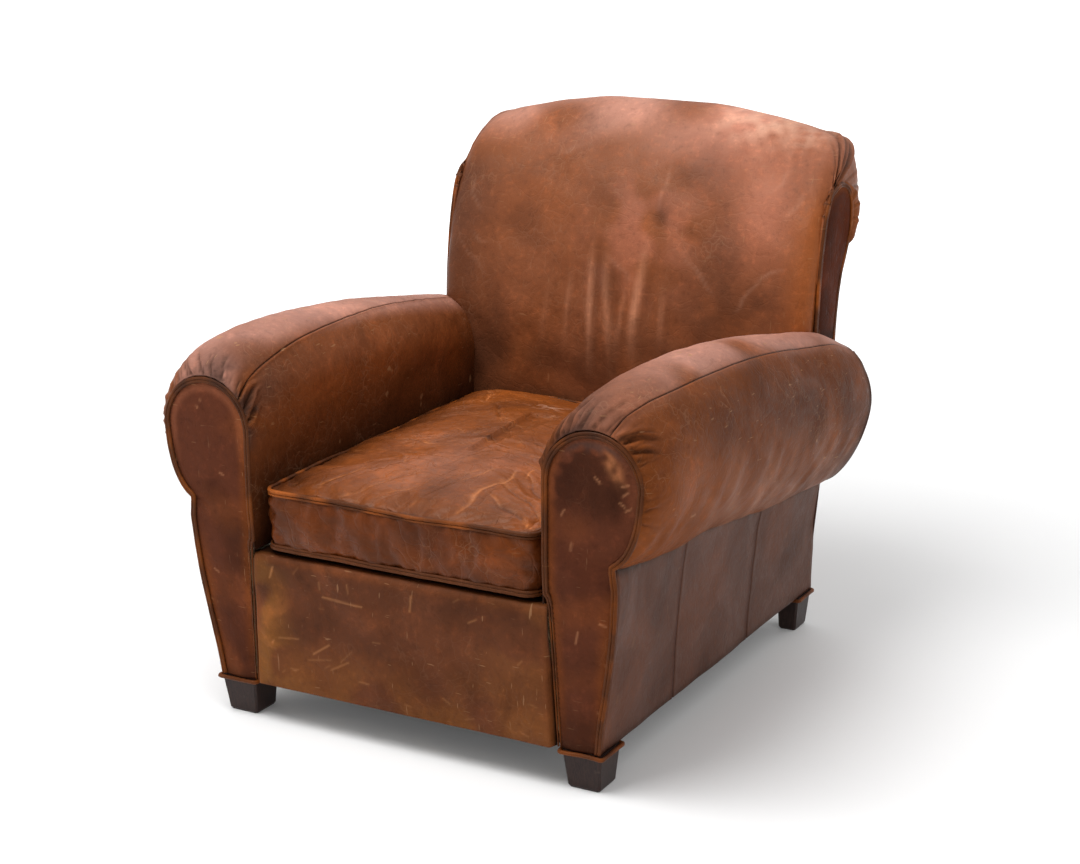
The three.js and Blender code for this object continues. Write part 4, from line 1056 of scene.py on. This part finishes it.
# ---- seat ----
def rail_cover():
    """The front rail's leather, rolled in under the cushion, with scratches and a yellowed foot."""
    low_y, top_y, top_z = RAIL["low_y"], RAIL["top_y"], RAIL["top_z"]
    turn = np.linspace(0, 1.57, 9)
    line = np.concatenate([[(low_y, BASE_Z + 1), (top_y + 1, 200), (top_y, 258)],
                           np.stack([top_y + 9 - 9 * np.cos(turn), top_z - 14 + 14 * np.sin(turn)], 1),
                           [(top_y + 45, top_z)]])
    steps = np.concatenate([np.linspace(0, 192, 88), np.linspace(193.5, lengths(line)[-1], 26)])
    profile = resample(line, steps)
    u = np.concatenate([[-1, -0.995, -0.99, -0.985], np.linspace(-0.98, 0.98, 230), [0.985, 0.99, 0.995, 1]])
    z = np.broadcast_to(profile[:, 1:2], (len(profile), len(u)))
    rise = np.clip((z - BASE_Z) / (top_z - BASE_Z), 0, 1)
    half = RAIL["half_low"] + (RAIL["half_top"] - RAIL["half_low"]) * rise + 1.2
    x = u[None, :] * half
    at3 = np.stack([x, np.zeros_like(x), z], -1)
    edge = half - np.abs(x)
    bulge = (2.0 + 1.3 * lumps(at3, 230, 151)) * soft(edge, 0, 35) * soft(z, 62, 90) * soft(z, 280, 255)
    bulge += 0.5 * lumps(at3, 70, 152) - 1.8 * soft(edge, 5, 0)
    y = profile[:, 0:1] - bulge * soft(z, 279, 270) + 12 * soft(edge, 8, 0) ** 2 * soft(z, 240, 160)
    grid = np.stack([x, np.broadcast_to(y, x.shape), z], -1)
    paint = Paint(BROWN * 0.66, at3)
    paint.coat(DARK, 0.45 * soft(lumps(at3, 150, 153), -0.3, 1.0) * soft(z, 100, 170))
    paint.coat(RAIL_FOOT, 0.6 * soft(z, 175, 75), (120, 154, -1.2, 0.6))
    paint.coat(RAIL_LEFT, 0.5 * soft(x, -165, -240), (60, 155, -0.6, 0.9))
    paint.coat(RAIL_RIGHT, 0.45 * soft(x, 90, 240), (110, 156, -0.9, 0.7))
    paint.coat(WARM * 0.8, 0.4 * soft(edge, 18, 4))
    paint.coat(DARK, 0.3 * soft(z, 190, 262))
    paint.coat(WARM * 0.7, 0.3 * soft(z, 262, 272))
    own = np.random.default_rng(23)
    marks = [((-218, 262), (-224, 244)), ((-128, 228), (-56, 226)), ((31, 258), (28, 234)),
             ((-150, 132), (-120, 152)), ((-160, 120), (-118, 128)), ((-100, 128), (-78, 150)),
             ((-118, 112), (-86, 130)), ((-212, 148), (-176, 152)), ((-134, 250), (-133, 240)),
             ((-82, 256), (-80, 243))]
    for _ in range(17):
        px, pz = own.uniform(-240, 240), own.uniform(75, 262)
        if own.uniform() < 0.4:
            px, pz = own.normal(-120, 45), own.normal(128, 22)
        angle, size = own.uniform(-0.9, 1.3), own.uniform(4, 17)
        marks.append(((px, pz), (px + size * math.cos(angle), pz + size * math.sin(angle))))
    for k, (p, q) in enumerate(marks):
        away, _ = to_segment(at3[..., ::2], p, q)
        paint.coat(RAIL_SCRATCH, (0.3 if k < 4 else own.uniform(0.08, 0.22)) * bump(away, 1.5))
    # painted shade where the leather rolls in under the cushion, and at both ends beside the arm fronts
    paint.coat(DEEP, 0.8 * soft(grid[..., 1], top_y + 10, top_y + 20))
    paint.coat(DEEP, 0.7 * soft(edge, 3, 0))
    shell("front_rail_leather", grid, (0, 0, 170), RAIL_LEATHER, paint, 0.5, ["front_rail_cover"])


def cushion_ring(shrink):
    """The cushion's outline seen from above, evenly spaced, its sides pulled in between its corners."""
    (y0, y1), corner = CUSHION["y"], CUSHION["corner"]
    points = []
    for cx, cy, start in ((CUSHION["front"], y0, -90), (CUSHION["rear"], y1, 0), (-CUSHION["rear"], y1, 90),
                          (-CUSHION["front"], y0, 180)):
        r = max((26 if cy < 0 else corner) - shrink * 0.5, 6)
        mx, my = cx - np.sign(cx) * (r + shrink), cy - np.sign(cy) * (r + shrink)
        for angle in np.radians(start + np.linspace(0, 90, 12)):
            points.append((mx + r * math.cos(angle), my + r * math.sin(angle)))
    return resample(np.array(points + points[:1]), RING_COUNT + 1)[:-1]


def cushion_mesh():
    """A closed body of rings: under face, boxing and crowned top, with its two seam rings."""
    low, high, crown = CUSHION["low"], CUSHION["high"], CUSHION["crown"]
    reach = CUSHION["front"] - 2
    under = [(low - 3 + 1.5 * (1 - k), reach * k) for k in np.linspace(0.97, 0.03, 14)]
    boxing = [(low + (high - low) * k, -1.5 * math.sin(math.pi * k)) for k in np.linspace(0, 1, 13)]
    over = [(high + (crown - 4 - high) * (1 - (1 - k) ** 2.2), reach * k)
            for k in np.linspace(0.02, 0.97, 42)]
    levels = under + boxing + over
    rings = [np.column_stack([cushion_ring(shrink), np.full(RING_COUNT, z)]) for z, shrink in levels]
    return np.array(rings), [len(under), len(under) + len(boxing) - 1]


def ring_faces(rows, count):
    """Faces between the rings, and over the first and the last ring."""
    quads = [strips(rows, count, wrap_cols=True)]
    for row, flip in ((0, False), (rows - 1, True)):
        ids = row * count + np.arange(count)
        fill = np.array([[ids[k], ids[k + 1], ids[count - 2 - k], ids[count - 1 - k]]
                         for k in range(count // 2 - 1)])
        quads.append(fill[:, ::-1] if flip else fill)
    return np.concatenate(quads)


def doubled(grid, axis, wrap):
    """Twice as many points along one direction of the grid, on the same smooth surface."""
    g = np.moveaxis(grid, axis, 0)
    if wrap:
        before, a, b, after = np.roll(g, 1, 0), g, np.roll(g, -1, 0), np.roll(g, -2, 0)
    else:
        before = np.concatenate([g[:1], g[:-2]])
        after = np.concatenate([g[2:], g[-1:]])
        a, b = g[:-1], g[1:]
    middle = (9 * (a + b) - before - after) / 16
    out = np.empty((len(g) + len(middle),) + g.shape[1:])
    out[0::2] = g
    out[1::2] = middle
    return np.moveaxis(out, 0, axis)


def inflate(points, quads, pinned):
    """Blows the cushion up a little with a cloth simulation, its seams held, and caps the travel."""
    mesh = bpy.data.meshes.new("blank")
    mesh.from_pydata((points * 0.001).tolist(), [], quads.tolist())
    piece = bpy.data.objects.new("blank", mesh)
    bpy.context.scene.collection.objects.link(piece)
    face_out(piece)
    start = np.array([v.co for v in mesh.vertices])
    group = piece.vertex_groups.new(name="seam")
    group.add([int(i) for i in pinned], 1.0, "REPLACE")
    cloth = piece.modifiers.new("Cloth", "CLOTH")
    s = cloth.settings
    s.quality = 5
    s.mass = 0.4
    s.tension_stiffness = s.compression_stiffness = 18
    s.shear_stiffness = 8
    s.bending_stiffness = 0.6
    s.use_pressure = True
    s.uniform_pressure_force = 4
    s.vertex_group_mass = "seam"
    s.shrink_min = -0.02
    s.effector_weights.gravity = 0
    cloth.point_cache.frame_start, cloth.point_cache.frame_end = 1, CLOTH_FRAMES
    for k in range(1, CLOTH_FRAMES + 1):
        bpy.context.scene.frame_set(k)
    bpy.context.view_layer.update()
    done = piece.evaluated_get(bpy.context.evaluated_depsgraph_get()).to_mesh()
    end = np.array([v.co for v in done.vertices])
    bpy.data.objects.remove(piece)
    bpy.context.scene.frame_set(1)
    move = end - start
    far = np.linalg.norm(move, axis=1, keepdims=True)
    return (start + move * np.minimum(1, TRAVEL_CAP / np.maximum(far, 1e-9) / 1000)) * 1000


def cushion_creases(grid, top):
    """The creases of the top: their rise, and how creased each point is."""
    rise = np.zeros(top.shape)
    creased = np.zeros(top.shape)
    own = np.random.default_rng(29)
    lines = [((-205, -440), (-125, -330), 7), ((-150, -455), (-110, -370), 6), ((-95, -462), (-30, -350), 6),
             ((-40, -462), (20, -330), 5), ((20, -465), (70, -300), 5), ((90, -465), (110, -300), 5),
             ((222, -460), (110, -395), 7), ((225, -430), (100, -340), 7), ((228, -400), (120, -300), 6),
             ((228, -370), (150, -270), 6), ((-215, -250), (-60, -290), 6), ((-222, -190), (-60, -230), 6),
             ((-228, -60), (-120, -40), 6), ((-230, -20), (-100, 30), 6), ((-235, 40), (-60, 75), 6),
             ((-235, 90), (-80, 110), 6), ((-210, 150), (-60, 120), 6), ((-198, 144), (-120, 30), 5),
             ((-120, 30), (-50, -79), 5), ((-60, -60), (120, -90), 5), ((-40, -190), (150, -150), 6),
             ((-150, -200), (20, -110), 5), ((40, -230), (180, -190), 5), ((60, 60), (200, 20), 6),
             ((40, 140), (190, 120), 6)]
    named = len(lines)
    for _ in range(60):
        px, py = own.uniform(-210, 210), own.uniform(-450, 180)
        angle, size = own.uniform(-0.7, 0.9) + (1.1 if py < -300 else 0), own.uniform(30, 110)
        end = (px + size * math.cos(angle), py + size * math.sin(angle))
        lines.append(((px, py), end, own.uniform(2.2, 3.6)))
    wavy = grid[..., :2] + 7 * np.stack([lumps(grid, 90, 162), lumps(grid, 90, 163)], -1)
    for k, (p, q, width) in enumerate(lines):
        away, along = to_segment(wavy, p, q)
        taper = top * np.sin(np.pi * np.clip(along * 0.92 + 0.04, 0, 1)) ** 0.6
        deep, dark = (2.3, 0.9) if k < named else (1.1, 0.6)
        ridge = bump(away - width * 1.5, width) * (side_of(wavy, p, q) > 0)
        rise += taper * deep * (0.8 * ridge - bump(away, width * 0.42))
        creased += taper * dark * bump(away, width * 0.34)
    return rise, creased


def cushion_paint(grid, x, y, row, seams, top, box, creased):
    """The cushion's colour: orange-brown, darker at the left and round the boxing, pale in its creases."""
    paint = Paint(ORANGE * 0.78, grid)
    paint.coat(DARK, 0.35, (130, 171, 0.0, 1.2))
    paint.coat(WARM * 0.75, 0.5, (70, 172, 0.0, 1.1))
    # painted sheen highlight on the middle of the top
    sheen = bump(np.hypot((x - 10) / 1.2, (y + 300) / 1.1), 125)
    paint.coat(SEAT_SHEEN, 0.36 * top * sheen, (110, 173, -1.6, 0.6))
    paint.coat(ORANGE * 1.2, 0.55 * top * soft(y, 0, 150))
    paint.coat(PALE, 0.4 * top * bump(np.hypot((x + 30) / 1.6, y - 50), 20), (20, 174, -0.4, 0.8))
    paint.coat(DEEP, 0.85 * top * bump(np.hypot((x + 12) / 1.8, (y + 174) / 0.9), 10), (16, 175, -1.5, 0.4))
    paint.coat(DARK, 0.55 * top * soft(x, -150, -245) + 0.25 * top * soft(y, -380, -470))
    paint.coat(SEAT_CREASE, 0.72 * np.clip(creased, 0, 1), (90, 176, -1.0, 0.8))
    paint.coat(DARK, 0.5 * np.clip(creased, 0, 1), (90, 176, 0.8, -1.0))
    paint.coat(BOXING, 0.72 * box)
    paint.coat(DARK, 0.35 * box, (80, 177, -0.6, 0.9))
    # painted shade under the piping at both seams, at the boxing's sides beside the arms, and under the
    # cushion
    paint.coat(DEEP, 0.6 * bump(row - seams[0], 1.1) + 0.35 * bump(row - seams[1], 0.8))
    paint.coat(DEEP, 0.7 * soft(np.abs(x), 236, 250) * box)
    paint.coat(DEEP, 0.9 * soft(row, seams[0], seams[0] - 2))
    return paint


def cushion():
    points, seams = cushion_mesh()
    rows = len(points)
    pinned = np.concatenate([row * RING_COUNT + np.arange(RING_COUNT) for row in seams])
    flat = inflate(points.reshape(-1, 3), ring_faces(rows, RING_COUNT), pinned)
    points = flat.reshape(points.shape)
    grid = doubled(doubled(points, 0, False), 1, True)
    count = 2 * RING_COUNT
    closed = np.concatenate([grid, grid[:, :1]], 1)
    n = normals(closed)[:, :-1]
    n *= np.sign(np.sum(n * (grid - CUSHION_MIDDLE)))
    row = np.arange(2 * rows - 1)[:, None] / 2 + np.zeros((1, count))
    x, y, z = grid[..., 0], grid[..., 1], grid[..., 2]
    top = soft(row, seams[1] - 0.5, seams[1] + 1.5)
    box = soft(row, seams[0] - 1, seams[0] + 1) * (1 - top)
    rise = 2.6 * lumps(grid, 200, 161) * top
    # the crown fills out at the left side and the middle, and sinks where the chair is sat in
    rise += 6 * top * bump(np.hypot((x + 20) / 1.5, y + 60), 130)
    rise -= 4 * top * bump(np.hypot(x + 10, y - 110), 110)
    rise += 5 * top * bump(np.hypot(x + 205, (y + 80) / 3.0), 70)
    folds, creased = cushion_creases(grid, top)
    rise += folds
    rise += top * 0.5 * lumps(grid, 34, 164) * soft(lumps(grid, 130, 165), -0.4, 0.8)
    # boxing: soft upright buckles, and the seams pull in
    arc = np.arange(count)[None, :] * (2 * math.pi / count)
    buckles = np.sin(arc * 46 + 2 * lumps(grid, 120, 167)) * soft(z, 300, 378)
    rise += box * (1.6 * lumps(grid, 75, 166) + 0.45 * buckles)
    corner = bump(np.hypot(np.abs(x) - 226, y + 465), 34)
    rise += box * corner * 1.6 * np.sin(z / 4.2 + x / 15)
    for seam in seams:
        rise -= 2.2 * bump(row - seam, 0.7)
    rise *= soft(row, 1, 6) * soft(row, rows - 1, rows - 1.5)
    rise[[0, -1]] = 0
    grid = grid + n * rise[..., None]
    grid[..., 2] = np.maximum(grid[..., 2], CUSHION["low"] - 7)
    paint = cushion_paint(grid, x, y, row, seams, top, box, creased)
    piece = make("seat_cushion", grid.reshape(-1, 3), ring_faces(2 * rows - 1, count), SEAT_LEATHER,
                 paint.colour.reshape(-1, 3), (0.35 + 0.35 * top + 0.2 * box).ravel(),
                 ["cushion_cover", "cushion_core"])
    face_out(piece)
    cushion_piping("top", grid[2 * seams[1]], CUSHION["high"] + 1.5, -5.2, -3.5, ORANGE)
    cushion_piping("bottom", grid[2 * seams[0]], CUSHION["low"] - 0.5, 4.6, 0, CORD_BROWN)


def cushion_piping(label, ring, height, twin_shift, sag, light):
    """Two cords round a seam ring. The upper ones sag at the front."""
    away = ring - CUSHION_MIDDLE
    away[:, 2] = 0
    away /= np.linalg.norm(away, axis=1, keepdims=True)
    path = ring + away * 3.4
    path[:, 2] = height + 1.2 * lumps(path, 150, 181)
    path[:, 2] += sag * bump(path[:, 0] - 60, 150) * soft(path[:, 1], -440, -470)
    twin = path + away * 0.4 + [0, 0, twin_shift]
    cords = [tube(path, 3.1 * (1 + 0.06 * lumps(path, 50, 182)), 10, True),
             tube(twin, 2.2 * (1 + 0.06 * lumps(path, 50, 183)), 8, True)]
    piping(f"cushion_piping_worn_{label}", f"cushion_piping_{label}", cords, CORD_BROWN, light)


rail_cover()
cushion()

# ---- feet, and the CAD nodes that stay ----
def foot_welt(end, side_name):
    """A cord round the head of a foot, on the line of its CAD welt."""
    name = f"foot_welt_{end}_{side_name}"
    low, high = [np.array(v) * 1000 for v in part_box(name)]
    middle, half = (low + high) / 2, (high - low) / 2 - 3.2
    ring = []
    for k, (sx, sy) in enumerate(((1, -1), (1, 1), (-1, 1), (-1, -1))):
        for angle in np.radians(-90 + 90 * k + np.linspace(0, 90, 7)):
            ring.append((middle[0] + sx * (half[0] - 4) + 4 * math.cos(angle),
                         middle[1] + sy * (half[1] - 4) + 4 * math.sin(angle), middle[2]))
    ring = resample(np.array(ring + ring[:1]), 81)[:-1]
    ring[:, 2] += 0.5 * lumps(ring, 60, 191)
    piping(f"foot_welt_worn_{end}_{side_name}", name, [tube(ring, 3.2, 10, True)], WARM * 0.4, ORANGE * 0.6)


for side_name in ("left", "right"):
    for end in ("front", "rear"):
        foot_welt(end, side_name)

LACQUERED_WOOD = dark_wood("foot_wood")
ZINC = steel("steel")
WADDING = woven("padding", (0.5, 0.45, 0.34), (0.72, 0.68, 0.56), 300)
BLACK_CLOTH = woven("black_cloth", (0.012, 0.012, 0.013), (0.04, 0.04, 0.042), 260)
RAW_WOOD = raw_wood("frame_wood")


def look_of(name):
    """The material of a CAD node that stays in view."""
    if name.startswith(("foot_bolt", "seat_spring", "cushion_zip")):
        return ZINC
    if name.startswith("foot_"):
        return LACQUERED_WOOD
    if name.endswith(("pad", "core")) or "_pad_" in name:
        return WADDING
    return BLACK_CLOTH if name in ("deck_cover", "dust_cover") else RAW_WOOD


for name, node in nodes.items():
    if not node.hide_render:
        node.data.materials.clear()
        node.data.materials.append(look_of(name))

# ---- floor, light and camera ----
bpy.ops.mesh.primitive_plane_add(size=90)
floor = bpy.context.object
floor.name = "floor"
floor_look = Graph("floor")
# the floor glows, little near the chair and more further out: painted light that whitens the far floor and
# lights the chair low from all round
far = floor_look.node("VectorMath", {0: floor_look.coords}, operation="LENGTH").outputs["Value"]
floor_look.put(floor_look.shader, {"Emission Color": (1, 1, 1, 1),
                                   "Emission Strength": floor_look.span(far, 0.9, 4.5, 0.05, 0.75)})
floor_look.finish((0.86, 0.86, 0.86, 1), 0.7, floor_look.noise(20, 3), 0.0002, 0.1)
floor.data.materials.append(floor_look.material)

bpy.context.scene.view_settings.view_transform = "Standard"
world = bpy.data.worlds.new("studio")
bpy.context.scene.world = world
world.use_nodes = True
world.node_tree.nodes["Background"].inputs[0].default_value = (1, 1, 1, 1)
world.node_tree.nodes["Background"].inputs[1].default_value = 0.5


def softbox(name, place, target, size, power):
    """A soft area light that faces a target."""
    light = bpy.data.lights.new(name, "AREA")
    light.shape = "RECTANGLE"
    light.size, light.size_y = size
    light.energy = power
    lamp = bpy.data.objects.new(name, light)
    lamp.location = place
    lamp.rotation_euler = (Vector(target) - Vector(place)).to_track_quat("-Z", "Y").to_euler()
    bpy.context.scene.collection.objects.link(lamp)


CHAIR_MIDDLE = (0, 0, 0.4)
softbox("key", (-0.6, -1.2, 3.2), CHAIR_MIDDLE, (2.2, 1.8), 100)
softbox("back", (0.6, 5.0, 4.6), (0.6, 5.6, 0), (9.0, 6.0), 170)
softbox("right", (3.2, -0.6, 1.5), CHAIR_MIDDLE, (1.6, 1.8), 12)
softbox("left", (-3.0, -1.6, 1.6), CHAIR_MIDDLE, (1.6, 2.0), 14)

AZIMUTH, ELEVATION = math.radians(28.511), math.radians(15.328)
DISTANCE, LENS, SHIFT_X = 3.4354, 69.05, -0.00638
TARGET = Vector((-0.013276, 0.012877, 0.381373))
out_y = math.cos(AZIMUTH) * math.cos(ELEVATION)
back = Vector((math.sin(AZIMUTH) * math.cos(ELEVATION), -out_y, math.sin(ELEVATION)))
camera = bpy.data.objects.new("camera", bpy.data.cameras.new("camera"))
camera.location = TARGET + back * DISTANCE
camera.rotation_euler = (-back).to_track_quat("-Z", "Y").to_euler()
camera.data.sensor_width = 36
camera.data.lens = LENS
camera.data.shift_x = SHIFT_X
bpy.context.scene.collection.objects.link(camera)
bpy.context.scene.camera = camera
